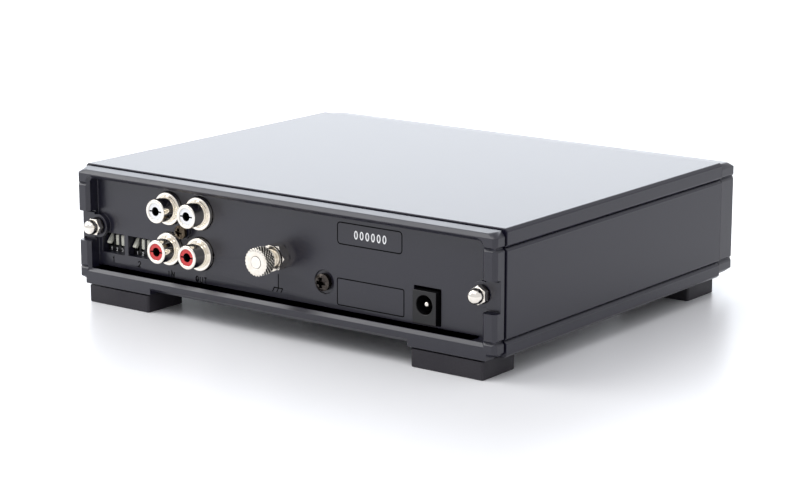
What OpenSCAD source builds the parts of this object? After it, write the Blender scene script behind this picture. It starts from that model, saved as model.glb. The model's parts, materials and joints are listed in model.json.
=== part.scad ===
// Phono preamplifier in a low metal case: two wrap-round covers and two side
// extrusions are clamped between moulded end frames by a pair of tie rods.
// +Z is up, the fascia faces -Y, the sockets face +Y, and z = 0 is the table.

/* [Case] */
// Width over the two side panels
case_w = 180; // [162:1:200]
// Length of the covers between the two moulded ends
case_len = 133.8; // [119:0.2:160]
// Height of the covers, underside to top
case_h = 41.5; // [37.5:0.5:50]
// Wall of the covers and side panels
cover_t = 2; // [1.6:0.1:2.4]
// Depth of the wrapped edge of the top cover
top_flange_h = 6.1; // [5.4:0.1:8]
// Depth of the wrapped edge of the bottom cover
bottom_flange_h = 5.5; // [5:0.1:6]
// Chamfer that turns each part line on the side into a V groove
groove_c = 0.85; // [0.4:0.05:1.1]
// Chamfer along the long top and bottom edges of the covers
cover_edge_c = 0.9; // [0.4:0.1:1.4]
// Gap between a cover and a side panel
panel_gap = 0.1; // [0.05:0.05:0.2]
// Thickness of the side panels' lips behind the covers
lip_t = 2; // [1.5:0.1:2.5]
// Play between those lips, or the moulded ends' lips, and the covers
lip_gap = 0.15; // [0.1:0.05:0.3]
// Thickness of the rails that hold the board in the side panels
rail_t = 1.2; // [0.8:0.1:1.3]
// Reach of those rails past the lips
rail_d = 2; // [1.5:0.1:2.5]

/* [End mouldings] */
// Visible gap between the covers and each moulded end
seam_w = 0.8; // [0.8:0.1:2]
// Set-in of the moulded ends from the side panels
end_inset = 0.5; // [0.5:0.1:1.5]
// Set-in of the moulded ends from the top cover
end_drop = 0.65; // [0.2:0.05:0.8]
// Height of the moulded ends' lower edge above the bottom cover's underside
end_lift = 0.8; // [0.4:0.1:1.2]
// Thickness of the rear moulding's rim behind the seam
rear_t = 4.85; // [4.4:0.05:6]
// Thickness of the front moulding in front of the seam
front_t = 9.6; // [8:0.1:13]
// Fall of each moulding's top from the seam to its chamfer
end_fall = 0.6; // [0:0.05:0.8]
// Chamfer round the outer face of each moulding
end_c = 1.25; // [0.6:0.05:1.5]
// Plan radius of the moulding's top corners
end_corner_r = 3; // [1.5:0.5:4]
// Width of the rear rim's upright sides
rim_w = 5.5; // [4.5:0.1:6]
// Height of the rear rim's lower bar
rim_bottom_h = 4.4; // [3.8:0.1:5]
// Height of the rear rim's upper bar
rim_top_h = 3.25; // [3.1:0.05:3.6]
// Radius of the recess's upper corners
recess_r = 2; // [1:0.5:4]
// Depth of the socket panel below the rear rim
recess_d = 5.05; // [4.6:0.05:5.5]
// Thickness of the socket panel
panel_t = 3; // [2.6:0.1:3.6]
// Chamfer round the mouth of the recess
mouth_c = 1.2; // [0.6:0.05:1.3]
// Height of the slot along the foot of the socket panel
slot_h = 0.6; // [0.4:0.1:1]
// Depth of that slot
slot_d = 1.8; // [0.8:0.1:2.2]
// Distance of the slot's round end from the recess's side
slot_end = 4; // [2:0.5:8]
// Drop of the pads over the rear feet
pad_drop = 1.2; // [0.8:0.1:1.3]
// Length of the lips that locate each moulding inside the covers
end_lip_l = 4; // [2:0.5:6]
// Thickness of those lips
end_lip_t = 1.6; // [1.2:0.1:1.8]
// Wall of the fascia
fascia_t = 3; // [2:0.1:4]
// Wall of the front moulding above and below its hollow
frame_t = 4; // [3:0.1:4.2]

/* [Tie rods] */
// Diameter of each tie rod
rod_d = 3; // [2.5:0.1:3.2]
// Distance of each rod from the case's outer face
rod_in = 7.6; // [7:0.1:9]
// Gap between the switch blocks and the tunnel of the rod above them
rod_over = 0.5; // [0.3:0.1:3]
// Wall of the tunnels that the rods run through
tunnel_t = 1.6; // [1:0.1:2]
// Play of the rods in their holes, on the radius
rod_gap = 0.2; // [0.1:0.05:0.3]
// Size across flats of the nuts
nut_af = 5.5; // [5:0.1:5.7]
// Length of the nuts that are moulded into the front end
insert_l = 2.4; // [2:0.1:2.8]
// Height of the hexagon of the dome nuts
dome_hex_h = 2.4; // [2:0.1:3]
// Overall height of the dome nuts
dome_h = 5.6; // [5:0.1:6.5]
// Diameter of the dome nuts' domes
dome_d = 4.5; // [4:0.1:4.8]
// Thickness of the washers under the dome nuts
washer_t = 0.5; // [0.3:0.1:0.8]
// Height of the notch in the rim round each dome nut
notch_h = 10.6; // [9.5:0.1:12]
// Depth of that notch below the rim
notch_d = 2.95; // [2:0.05:3.5]
// Depth and height of the relief at each end of the notch
relief = 0.65; // [0.4:0.05:0.9]
// Radius of the raised seat under each dome nut
seat_r = 4.2; // [3.6:0.1:4.3]

/* [Feet] */
// Height of the bottom cover above the table
foot_h = 7; // [6:0.5:10]
// Length of each foot across the case
foot_w = 28.3; // [20:0.1:34]
// Depth of each foot
foot_l = 17.8; // [14:0.1:24]
// Distance of the feet from the case's outer face
foot_in = 5.1; // [4:0.1:12]
// Distance of the rear feet from the rear rim
foot_back = 0.3; // [0:0.1:3]
// Distance of the front feet from the fascia
foot_front = 5.3; // [4:0.1:10]
// Height of the raised land of the foot that meets the cover
foot_land = 0.95; // [0.5:0.05:1.5]
// Diameter of that land
foot_land_d = 8; // [6:0.5:10]
// Corner radius of the feet
foot_r = 1; // [0.5:0.5:3]
// Diameter of the foot screws
foot_screw_d = 3; // [2.5:0.5:3]
// Distance of the foot screws from the feet's middle, towards the case's middle
foot_screw_in = 4.5; // [3:0.1:5]

/* [Circuit board] */
// Gap under the board
board_gap = 3; // [2.6:0.1:3.4]
// Thickness of the board
board_t = 1.6; // [1.2:0.1:1.8]
// Play of the board in the side panels' slots
board_play = 0.1; // [0.05:0.05:0.15]
// Distance between the board and the rear moulding's lips
board_back = 0.8; // [0.6:0.1:2]
// Distance between the board and the front moulding
board_front = 0.8; // [0.6:0.1:4]
// Diameter of the board screws
board_screw_d = 2.5; // [2:0.1:2.6]
// Distance of the board screws from the board's sides
board_screw_in = 22; // [20:0.5:26]
// Distance of the front pair of board screws from the board's front edge
board_screw_front = 20; // [19:0.5:26]
// Distance of the rear pair of board screws from the board's rear edge
board_screw_back = 38; // [30:0.5:44]

/* [Phono sockets] */
// Diameter of the socket flange
rca_flange_d = 11.4; // [11:0.1:12.5]
// Gap between the flanges side by side
rca_col_gap = 2.6; // [1.4:0.1:4]
// Gap between the flanges one above the other
rca_row_gap = 2.8; // [1.4:0.1:3.3]
// Height of the sockets' middle above the middle of the socket recess
rca_rise = 1.8; // [1.2:0.05:2.2]
// Gap between the socket block and the switch blocks
rca_side_gap = 2.52; // [0.5:0.01:6]
// Thickness of the flange in front of the socket panel
rca_flange_out = 1.5; // [0.7:0.1:2]
// Gap round the flanges in the socket panel
rca_hole_gap = 0.2; // [0.15:0.05:0.4]
// Diameter of the socket barrel
rca_d = 8.3; // [8:0.05:8.5]
// Reach of the barrel in front of the socket panel
rca_reach = 7.5; // [7:0.1:10]
// Diameter of the coloured insulator
rca_insert_d = 5.9; // [5.6:0.1:7.2]
// Bore that takes the plug's centre pin
rca_pin_d = 3.3; // [3.2:0.05:3.4]
// Wall of the contact tube round that bore
rca_contact_t = 0.15; // [0.1:0.05:0.3]
// Depth of the barrels behind the socket panel
rca_depth = 9; // [7:0.5:10]
// Depth of the socket block behind the socket panel
rca_block_l = 11; // [10.5:0.5:14]
// Rim of the socket block round the flanges
rca_block_rim = 0.4; // [0.3:0.1:1]

/* [Switches] */
// Pitch of the switch keys
key_pitch = 2.54; // [2.5:0.01:2.7]
// Width of one switch key
key_w = 1.5; // [1.2:0.1:1.7]
// Length of a key from its pivot
key_l = 3.4; // [3:0.1:3.8]
// Thickness of a key
key_t = 1.1; // [0.8:0.1:1.2]
// Play beside each key
key_gap = 0.15; // [0.1:0.05:0.25]
// Height of the key pivots above the board
key_h = 9.4; // [9:0.1:10]
// Distance of the key pivots behind the front of the switch block
key_set = 0.9; // [0.7:0.05:1.2]
// Angle at which a raised key stands out
key_angle = 41; // [30:1:50]
// Depth of a switch block
dip_l = 9; // [7:0.5:11]
// Body of a switch block past the pitch of its outer keys
dip_margin = 0.85; // [0.6:0.05:1]
// Height of a switch block above the key pivots
dip_over = 0.6; // [0.4:0.1:1]
// Gap between the two switch blocks
dip_gap = 0.44; // [0.2:0.02:1.5]
// Gap between the switch blocks and the rails of the side panel
dip_side_gap = 0.77; // [0.3:0.01:2]
// Distance of the switch blocks behind the socket panel
dip_back = 0.2; // [0.1:0.1:1]
// Width of each switch window
window_w = 10.4; // [9.8:0.1:11.4]
// Height of each switch window
window_h = 7.15; // [6.4:0.05:7.9]
// Height of the windows' lower edge above the board
window_up = 4.05; // [3.6:0.05:4.5]

/* [Earth terminal] */
// Distance of the terminal from the case's centre line
earth_x = 1.2; // [-4:0.1:6]
// Height of the terminal above the bottom cover's underside
earth_h = 20.3; // [17:0.1:23]
// Diameter of the stud
stud_d = 4; // [3.5:0.5:4]
// Length of the stud behind the socket panel
stud_in = 3; // [2.4:0.1:5]
// Running play between the thumb nut and the stud, on the radius
stud_gap = 0.05; // [0.02:0.01:0.1]
// Size across flats of the fixed nut
lock_af = 8; // [7:0.5:9]
// Height of the fixed nut
lock_h = 3.4; // [2.6:0.1:4]
// Gap between the fixed nut and the clamp washer
clamp_gap = 0.8; // [0.75:0.05:1.2]
// Thickness of the clamp washer
clamp_t = 0.6; // [0.4:0.05:1]
// Diameter of the clamp washer
clamp_d = 8.8; // [8:0.1:9.4]
// Diameter of the thumb nut's collar
collar_d = 6; // [5.6:0.1:7.6]
// Length of the thumb nut's collar
collar_l = 2.9; // [1.5:0.1:4]
// Diameter of the thumb nut's grip
grip_d = 9.7; // [9.4:0.1:13]
// Length of the thumb nut's grip
grip_l = 4.5; // [4:0.1:7]
// Chamfer of the thumb nut's grip
grip_c = 0.4; // [0.2:0.1:0.6]
// Thickness of the solder tag
tag_t = 0.8; // [0.5:0.1:1]

/* [Supply inlet] */
// Distance of the inlet from the case's outer face
jack_in = 30.4; // [27:0.1:36]
// Width of the inlet body
jack_w = 9.2; // [8.4:0.1:10]
// Height of the inlet body
jack_h = 11; // [10:0.1:12]
// Length of the inlet body
jack_l = 14; // [12.5:0.5:16]
// Reach of the inlet in front of the socket panel
jack_reach = 1.5; // [0.5:0.1:3]
// Height of the inlet's hole above the board
jack_hole_h = 6.4; // [5.8:0.1:7]
// Diameter of the inlet's hole
jack_hole_d = 6.4; // [5.6:0.1:6.8]
// Depth of the inlet's hole
jack_hole_l = 10; // [9:0.5:11]
// Diameter of the inlet's centre pin
jack_pin_d = 2.1; // [1.9:0.1:2.5]
// Set-back of the centre pin from the inlet's face
jack_pin_set = 0.8; // [0.4:0.1:2]
// Play round the inlet on the sides that show a gap
jack_gap = 1; // [0.5:0.1:1.2]

/* [Regulators] */
// Distance of the panel screw from the case's centre line, towards the inlet
sink_x = 17.8; // [16:0.1:24]
// Height of the panel screw above the bottom cover's underside
sink_screw_h = 14.2; // [12:0.1:16]
// Diameter of the panel screw
sink_screw_d = 3; // [2.5:0.5:3]
// Diameter of the panel screw's head
sink_head_d = 6.8; // [5.5:0.1:7.4]
// Height of the panel screw's head
sink_head_h = 1.8; // [1.4:0.1:2.2]
// Width of the heat sink
sink_w = 22; // [20:0.5:26]
// Height of the heat sink
sink_h = 20; // [18.5:0.5:26]
// Depth of the heat sink's fin
sink_l = 14; // [9:0.5:15]
// Thickness of the heat sink's sheet
sink_t = 2; // [1.5:0.1:2.5]
// Width of a regulator
reg_w = 10; // [8:0.1:10.4]
// Height of a regulator
reg_h = 8.3; // [7:0.1:9]
// Thickness of a regulator
reg_t = 4.4; // [4:0.1:5]
// Height of the regulators above the board
reg_up = 9.5; // [8:0.1:9.6]
// Pitch of the regulators' legs
reg_pitch = 2.54; // [2.2:0.02:3]
// Thickness of a leg
leg_t = 0.7; // [0.5:0.05:0.8]

/* [Fascia] */
// Distance of the power button from the case's outer face
button_in = 24; // [20:0.5:30]
// Drop of the button's middle below the middle of the side panel
button_drop = 2.5; // [0:0.1:4]
// Diameter of the power button
button_d = 9; // [7:0.5:10]
// Reach of the button in front of the fascia
button_reach = 3.2; // [3:0.1:4]
// Travel of the button
button_travel = 2.2; // [1.5:0.1:2.5]
// Play round the button, on the radius
button_gap = 0.3; // [0.2:0.05:0.5]
// Length of the wide part of the button behind the fascia
button_tail = 1.5; // [1:0.1:2]
// Distance between the back of the fascia and the switch
button_stem = 5; // [4.6:0.1:8]
// Diameter of the button's stem
stem_d = 3.6; // [3:0.1:4]
// Wall of the power switch's case beside the button
switch_wall = 1.5; // [1:0.1:3]
// Length of the power switch
switch_l = 16.5; // [14:0.5:18]
// Height of the power switch above the button's middle
switch_up = 5.5; // [4:0.1:7]
// Distance between the button and the pilot light
light_dx = 13; // [9:0.5:16]
// Diameter of the pilot light
light_d = 3; // [2:0.5:4]
// Rim of the pilot lens behind the fascia
light_rim = 0.8; // [0.5:0.1:1.5]
// Length of the lamp behind the lens
led_l = 4.5; // [3:0.1:6]
// Pitch of the lamp's legs
led_pitch = 2.54; // [2:0.02:3]

/* [Board parts] */
// Gap between the rows of parts on the board
row_gap = 4; // [2:0.1:5]
// Length of a resistor
resistor_l = 6.3; // [5:0.1:7]
// Diameter of a resistor
resistor_d = 2.4; // [1.8:0.1:3]
// Height of a resistor's axis above the board
resistor_up = 1.2; // [1.2:0.1:2]
// Pitch of the resistors
resistor_pitch = 6; // [4:0.1:6.4]
// Diameter of a transistor
transistor_d = 4.8; // [4:0.1:5.4]
// Height of a transistor
transistor_h = 5; // [4:0.1:6]
// Distance of a transistor's flat from its axis
transistor_flat = 1.4; // [1:0.1:1.8]
// Pitch of the transistors
transistor_pitch = 8; // [6:0.1:9]
// Diameter of a small capacitor can
can_d = 8; // [5:0.1:9]
// Height of a small capacitor can
can_h = 11; // [7:0.5:20]
// Pitch of the small capacitor cans
can_pitch = 14; // [10:0.5:16]
// Diameter of a large capacitor can
big_can_d = 12.5; // [10:0.5:14]
// Height of a large capacitor can
big_can_h = 20; // [12:0.5:24]
// Distance of the outer large cans from the case's outer face
big_can_in = 22; // [19:0.5:26]
// Pitch of the large cans across the case
big_can_dx = 20; // [15:0.5:24]
// Pitch of the large cans along the case
big_can_dy = 18; // [15:0.5:22]
// Distance of the large cans from the rear board screws
big_can_front = 20; // [12:0.5:22]
// Width of a film capacitor
film_w = 10; // [7:0.1:13]
// Thickness of a film capacitor
film_t = 5; // [3:0.1:6]
// Height of a film capacitor
film_h = 8; // [6:0.1:12]
// Pitch of the film capacitors
film_pitch = 15; // [13.5:0.5:16]
// Length of an op amp
op_l = 10; // [9:0.1:10.4]
// Width of an op amp's body
op_w = 6.4; // [5:0.1:6.4]
// Height of an op amp's body
op_h = 3.4; // [2.5:0.1:4]
// Height of an op amp's body above the board
op_up = 0.6; // [0.4:0.1:1]
// Pitch of an op amp's pins
op_pitch = 2.54; // [2.3:0.02:2.7]
// Width of an op amp's pin
op_pin_w = 0.6; // [0.4:0.1:0.8]
// Distance between the op amps
op_dx = 18; // [12:0.5:19]

/* [Hidden] */
// clearance of a bought part in the hole or pocket made for it
fit_gap = 0.15;
// overlap that keeps a cut or a joint inside one piece from ending on a face
over = 0.1;
// overshoot of a cut past an open face
past = 1;

half_w = case_w / 2;
z_under = foot_h;
z_floor = z_under + cover_t;
z_top = z_under + case_h;
z_ceiling = z_top - cover_t;
z_low = z_under + bottom_flange_h;
z_high = z_top - top_flange_h;

// thumb nut lengths, measured from the socket panel
nut_start = lock_h + clamp_gap + clamp_t;
nut_end = nut_start + collar_l + grip_l;

// y of the covers' ends; the whole part is centred on y = 0
rear_reach = seam_w + rear_t - recess_d + nut_end;
front_reach = seam_w + front_t + button_reach;
y_rear = (front_reach + case_len - rear_reach) / 2;
y_front = y_rear - case_len;
y_rim = y_rear + seam_w + rear_t;
y_panel = y_rim - recess_d;
y_behind = y_panel - panel_t;
y_fascia = y_front - seam_w - front_t;
y_fascia_back = y_fascia + fascia_t;

end_hw = half_w - end_inset;
end_z0 = z_under + end_lift;
end_z1 = z_top - end_drop;
recess_hw = end_hw - rim_w;
recess_z0 = end_z0 + rim_bottom_h;
recess_z1 = end_z1 - rim_top_h;

// side panel section
inner_x = half_w - cover_t;
lip_x1 = inner_x - lip_gap;
lip_x0 = lip_x1 - lip_t;
rail_x = lip_x0 - rail_d;
rail_gap = 0.3;

// circuit board
board_z0 = z_floor + board_gap;
board_z1 = board_z0 + board_t;
board_hw = lip_x0 - board_play;
board_y0 = y_front + board_front;
board_y1 = y_behind - end_lip_l - board_back;
board_screw_x = board_hw - board_screw_in;
board_screw_y0 = board_y0 + board_screw_front;
board_screw_y1 = board_y1 - board_screw_back;
board_head_r = board_screw_d / 2 + 1.1;
board_head_h = 1.6;

// switch blocks stand beside the rails of the +x side panel
dip_w = 4 * key_pitch + 2 * dip_margin;
dip_pitch = dip_w + dip_gap;
dip_x = rail_x - dip_side_gap - dip_w - dip_gap / 2;
dip_y = y_behind - dip_back;
key_y = dip_y - key_set;
key_z = board_z1 + key_h;
dip_z1 = key_z + dip_over;
window_z0 = board_z1 + window_up;

// tie rods pass over the switch blocks
tunnel_r = rod_d / 2 + tunnel_t;
rod_hole_r = rod_d / 2 + rod_gap;
rod_x = half_w - rod_in;
rod_z = dip_z1 + rod_over + tunnel_r;
seat_y = y_rim - notch_d;
insert_y1 = y_front - seam_w - 1.5;
insert_y0 = insert_y1 - insert_l;
rod_end_y = seat_y + washer_t + dome_hex_h + 0.3;

// phono sockets: +x column then -x column, upper socket first
rca_dx = rca_flange_d + rca_col_gap;
rca_dz = rca_flange_d + rca_row_gap;
rca_block_hw = rca_dx / 2 + rca_flange_d / 2 + rca_block_rim + 0.2;
rca_x = dip_x - dip_pitch / 2 - dip_w / 2 - rca_side_gap - rca_block_hw;
rca_mid_z = (recess_z0 + recess_z1) / 2 + rca_rise;
rca_places = [for (c = [1, -1], r = [1, -1]) [rca_x + c * rca_dx / 2, rca_mid_z + r * rca_dz / 2]];
rca_block_y0 = y_behind - rca_block_l;
rca_tube_y0 = y_behind - rca_depth + 0.5;
rca_contact_r = rca_pin_d / 2 + rca_contact_t;
rca_screw_d = 3;
rca_screw_head_d = 4.8;
rca_screw_head_h = 1.9;
rca_screw_seat = 1.1;

earth_z = z_under + earth_h;

jack_x = half_w - jack_in;
jack_z1 = board_z1 + jack_h;
jack_z = board_z1 + jack_hole_h;
jack_y1 = y_panel + jack_reach;
jack_y0 = jack_y1 - jack_l;
jack_hole_y = jack_y1 - jack_hole_l;

sink_screw_z = z_under + sink_screw_h;
sink_dish = 0.5;

button_x = half_w - button_in;
button_z = (z_low + z_high) / 2 - button_drop;
switch_y0 = y_fascia_back + button_stem;
switch_hw = button_d / 2 + switch_wall;
stem_y1 = switch_y0 + button_travel;
light_x = button_x - light_dx;
light_back = y_fascia_back + 2;

foot_x1 = half_w - foot_in;
foot_x0 = foot_x1 - foot_w;
foot_rear_y1 = y_rim - foot_back;
foot_front_y0 = y_fascia + foot_front;
foot_screw_x = (foot_x0 + foot_x1) / 2;
foot_rear_screw_y = foot_rear_y1 - foot_l / 2 - foot_screw_in;
foot_front_screw_y = foot_front_y0 + foot_l / 2 + foot_screw_in;
foot_sink_h = 2.6;
foot_head_h = 1.8;

// rows of parts, one behind the other from the socket block forward
resistor_y1 = rca_block_y0 - row_gap;
transistor_y = resistor_y1 - 2 * (resistor_l + row_gap) - transistor_d / 2;
can_y = transistor_y - transistor_d / 2 - row_gap - can_d / 2;
film_y1 = can_y - can_d / 2 - row_gap;
op_pin_y = (op_w + op_pin_w) / 2;
op_y = film_y1 - 2 * (film_t + row_gap) - op_pin_y - op_pin_w / 2;

// ---- shared shapes -------------------------------------------------------

// box between two corners, given as [low, high] on each axis
module block(x, y, z) {
    translate([x[0], y[0], z[0]]) cube([x[1] - x[0], y[1] - y[0], z[1] - z[0]]);
}

// round bar along y, from y0 to y1
module bar_y(x, z, y0, y1, r, n = 48) {
    translate([x, y0, z]) rotate([-90, 0, 0]) cylinder(r = r, h = y1 - y0, $fn = n);
}

// cone along y, from radius r0 at y0 to radius r1 at y1
module cone_y(x, z, y0, y1, r0, r1, n = 48) {
    translate([x, y0, z]) rotate([-90, 0, 0]) cylinder(r1 = r0, r2 = r1, h = y1 - y0, $fn = n);
}

// round bar along z
module bar_z(x, y, z0, z1, r, n = 48) {
    translate([x, y, z0]) cylinder(r = r, h = z1 - z0, $fn = n);
}

// an outline drawn in x and z, carried along y
module along_y(y0, y1) {
    translate([0, y1, 0]) rotate([90, 0, 0]) linear_extrude(y1 - y0) children();
}

module both_sides() {
    children();
    mirror([1, 0, 0]) children();
}

module hex_y(x, z, y0, y1, af) {
    bar_y(x, z, y0, y1, af / 2 / cos(30), 6);
}

// cross recess of a screw head that faces +y
module cross_slot_y(x, z, y1, reach, w, d) {
    for (a = [0, 90])
        translate([x, y1, z]) rotate([0, a, 0]) cube([2 * reach, 2 * d, w], center = true);
}

// cross recess of a screw head at the origin that faces z
module cross_slot_z(reach, w, d) {
    for (a = [0, 90]) rotate([0, 0, a]) cube([2 * reach, w, 2 * d], center = true);
}

// screw along y: domed head ending at y1, shank down to y0
module pan_screw_y(x, z, y0, y1, head_r, head_h, shank_r) {
    crown = head_h * 0.35;
    difference() {
        union() {
            bar_y(x, z, y0, y1 - head_h, shank_r, 32);
            bar_y(x, z, y1 - head_h, y1 - crown, head_r);
            cone_y(x, z, y1 - crown, y1, head_r, head_r - crown);
        }
        cross_slot_y(x, z, y1, head_r * 0.55, head_r * 0.2, head_h * 0.6);
    }
}

// ---- covers and side panels ------------------------------------------------

// wrapped cover with its web between z_out and z_in and flange edges at z_edge
module cover(z_out, z_in, z_edge) {
    s = z_out > z_in ? 1 : -1;
    z_lip = z_edge + s * panel_gap / 2;
    along_y(y_front, y_rear) polygon([
        [cover_edge_c - half_w, z_out], [half_w - cover_edge_c, z_out],
        [half_w, z_out - s * cover_edge_c], [half_w, z_lip + s * groove_c],
        [half_w - groove_c, z_lip], [inner_x, z_lip], [inner_x, z_in],
        [-inner_x, z_in], [-inner_x, z_lip], [groove_c - half_w, z_lip],
        [-half_w, z_lip + s * groove_c], [-half_w, z_out - s * cover_edge_c]]);
}

module top_cover() { color("darkslategray") cover(z_top, z_ceiling, z_high); }

module foot_places() {
    for (m = [0, 1], y = [foot_rear_screw_y, foot_front_screw_y])
        mirror([m, 0, 0]) translate([foot_screw_x, y, 0]) children();
}

module board_places() {
    for (m = [0, 1], y = [board_screw_y0, board_screw_y1])
        mirror([m, 0, 0]) translate([board_screw_x, y, 0]) children();
}

module bottom_cover() {
    color("darkslategray") difference() {
        cover(z_under, z_floor, z_low);
        foot_places() bar_z(0, 0, z_under - past, z_floor + past, foot_screw_d / 2 + over / 2, 32);
        board_places() bar_z(0, 0, z_under - past, z_floor + past, board_head_r, 32);
    }
}

// extrusion on the +x side: wall, lips behind both covers, slot rails, rod tunnel
module side_panel() {
    low = z_low + panel_gap / 2;
    high = z_high - panel_gap / 2;
    rail_low = board_z0 - board_play;
    rail_high = board_z1 + board_play;
    along_y(y_front, y_rear) polygon([
        [half_w - groove_c, low], [half_w, low + groove_c],
        [half_w, high - groove_c], [half_w - groove_c, high],
        [lip_x1, high], [lip_x1, z_ceiling - lip_gap],
        [lip_x0, z_ceiling - lip_gap], [lip_x0, high - lip_t], [inner_x, high - lip_t],
        [inner_x, rail_high + rail_t], [rail_x, rail_high + rail_t], [rail_x, rail_high],
        [lip_x0, rail_high], [lip_x0, rail_low], [rail_x, rail_low],
        [rail_x, rail_low - rail_t], [lip_x0, rail_low - rail_t],
        [lip_x0, z_floor + lip_gap], [lip_x1, z_floor + lip_gap], [lip_x1, low]]);
    difference() {
        union() {
            bar_y(rod_x, rod_z, y_front, y_rear, tunnel_r);
            block([rod_x, inner_x + over], [y_front, y_rear], [rod_z - rail_t, rod_z + rail_t]);
        }
        bar_y(rod_x, rod_z, y_front - past, y_rear + past, rod_hole_r);
    }
}

module side_panel_left() { color("slategray") side_panel(); }
module side_panel_right() { color("slategray") mirror([1, 0, 0]) side_panel(); }

// ---- moulded ends ----------------------------------------------------------

// outer block of a moulding, flat at y = 0 and chamfered all round at y = t
module end_block(t) {
    k = end_c;
    z1 = end_z1 - end_fall;
    intersection() {
        hull() {
            block([-end_hw, end_hw], [0, t - k], [end_z0 + k, z1 - k]);
            for (m = [-1, 1])
                bar_z(m * (end_hw - k - end_corner_r), t - k - end_corner_r, end_z0, z1, end_corner_r, 32);
            block([k - end_hw, end_hw - k], [0, over], [end_z0, end_z1]);
            block([k - end_hw, end_hw - k], [0, t], [end_z0 + k, z1 - k]);
        }
        block([-case_w, case_w], [0, t], [0, 2 * z_top]);
    }
}

// V groove that runs round a moulding's side at height z, cut from y0 to y1
module side_groove(z, y0, y1) {
    out = 0.5;
    both_sides() along_y(y0, y1)
        polygon([[end_hw - groove_c, z], [end_hw + out, z - groove_c - out], [end_hw + out, z + groove_c + out]]);
}

// the same groove carried over a moulding's outer face at y
module face_groove(y, z) {
    translate([0, y, z]) rotate([45, 0, 0])
        cube([2 * end_hw + 2, groove_c * 1.2, groove_c * 1.2], center = true);
}

// step that closes the seam
module end_step(y0, y1) {
    hw = inner_x - lip_gap - fit_gap;
    set = seam_w * 0.85;
    block([-hw, hw], [y0, y1], [end_z0 + set, end_z1 - set]);
}

// lips that reach inside the covers
module end_lips(y0, y1) {
    hw = rail_x - rail_gap;
    block([-hw, hw], [y0, y1], [z_floor + lip_gap, z_floor + lip_gap + end_lip_t]);
    block([-hw, hw], [y0, y1], [z_ceiling - lip_gap - end_lip_t, z_ceiling - lip_gap]);
}

module rear_panel_holes() {
    y0 = y_behind - past;
    y1 = y_panel + past;
    for (p = rca_places) bar_y(p[0], p[1], y0, y1, rca_flange_d / 2 + rca_hole_gap, 64);
    bar_y(rca_x, rca_mid_z, y0, y_rim, rca_screw_d / 2 + over, 32);
    for (m = [-1, 1]) {
        x = dip_x + m * dip_pitch / 2;
        block([x - window_w / 2, x + window_w / 2], [y0, y1], [window_z0, window_z0 + window_h]);
    }
    bar_y(earth_x, earth_z, y0, y1, stud_d / 2 + over, 32);
    block([-jack_x - jack_w / 2 - jack_gap, jack_gap / 2 - jack_x + jack_w / 2], [y0, y1],
          [board_z1 - fit_gap, jack_z1 + jack_gap]);
    bar_y(-sink_x, sink_screw_z, y0, y1, sink_screw_d / 2 + over, 32);
    bar_y(-sink_x, sink_screw_z, y_panel - sink_dish, y1, sink_head_d / 2 + 4 * fit_gap, 64);
}

// space of the socket recess, without the seats of the nuts and the block screw
module socket_recess() {
    difference() {
        union() {
            block([-recess_hw, recess_hw], [y_panel, y_rim + past], [recess_z0, recess_z1 - recess_r]);
            block([recess_r - recess_hw, recess_hw - recess_r], [y_panel, y_rim + past], [recess_z0, recess_z1]);
            both_sides() bar_y(recess_hw - recess_r, recess_z1 - recess_r, y_panel, y_rim + past, recess_r);
        }
        both_sides() bar_y(rod_x, rod_z, y_panel - past, seat_y, seat_r, 64);
        bar_y(rca_x, rca_mid_z, y_panel - past, y_panel + rca_screw_seat, rca_screw_head_d / 2 + 0.4);
    }
}

// slot along the foot of the socket panel, round at its -x end
module foot_slot() {
    r = slot_h / 2;
    x0 = slot_end + r - recess_hw;
    block([x0, recess_hw], [y_panel - slot_d, y_panel + past], [recess_z0, recess_z0 + slot_h]);
    bar_y(x0, recess_z0 + r, y_panel - slot_d, y_panel + past, r, 32);
}

// notch in the rim round a dome nut, with a relief at each end
module nut_notch() {
    z0 = rod_z - notch_h / 2;
    z1 = rod_z + notch_h / 2;
    block([recess_hw - over, end_hw + past], [seat_y, y_rim + past], [z0, z1]);
    for (z = [z0, z1 - relief])
        block([recess_hw - over, end_hw - 0.6], [seat_y - relief, seat_y + past], [z, z + relief]);
    bar_y(rod_x, rod_z, y_behind - past, y_rim + past, rod_hole_r, 32);
}

// chamfer round the mouth of the recess, 45 degrees, with cones in its round upper corners
module recess_mouth() {
    y0 = y_rim - mouth_c;
    y1 = y_rim + past;
    grow = y1 - y0;
    z_mid = recess_z1 - recess_r;
    hull() {
        block([-recess_hw, recess_hw], [y0, y0 + over], [recess_z0, z_mid]);
        block([-recess_hw - grow, recess_hw + grow], [y1, y1 + over], [recess_z0 - grow, z_mid]);
    }
    hull() {
        block([recess_r - recess_hw, recess_hw - recess_r], [y0, y0 + over], [z_mid - over, recess_z1]);
        block([recess_r - recess_hw, recess_hw - recess_r], [y1, y1 + over], [z_mid - over, recess_z1 + grow]);
    }
    both_sides() cone_y(recess_hw - recess_r, z_mid, y0, y1, recess_r, recess_r + grow);
}

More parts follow.
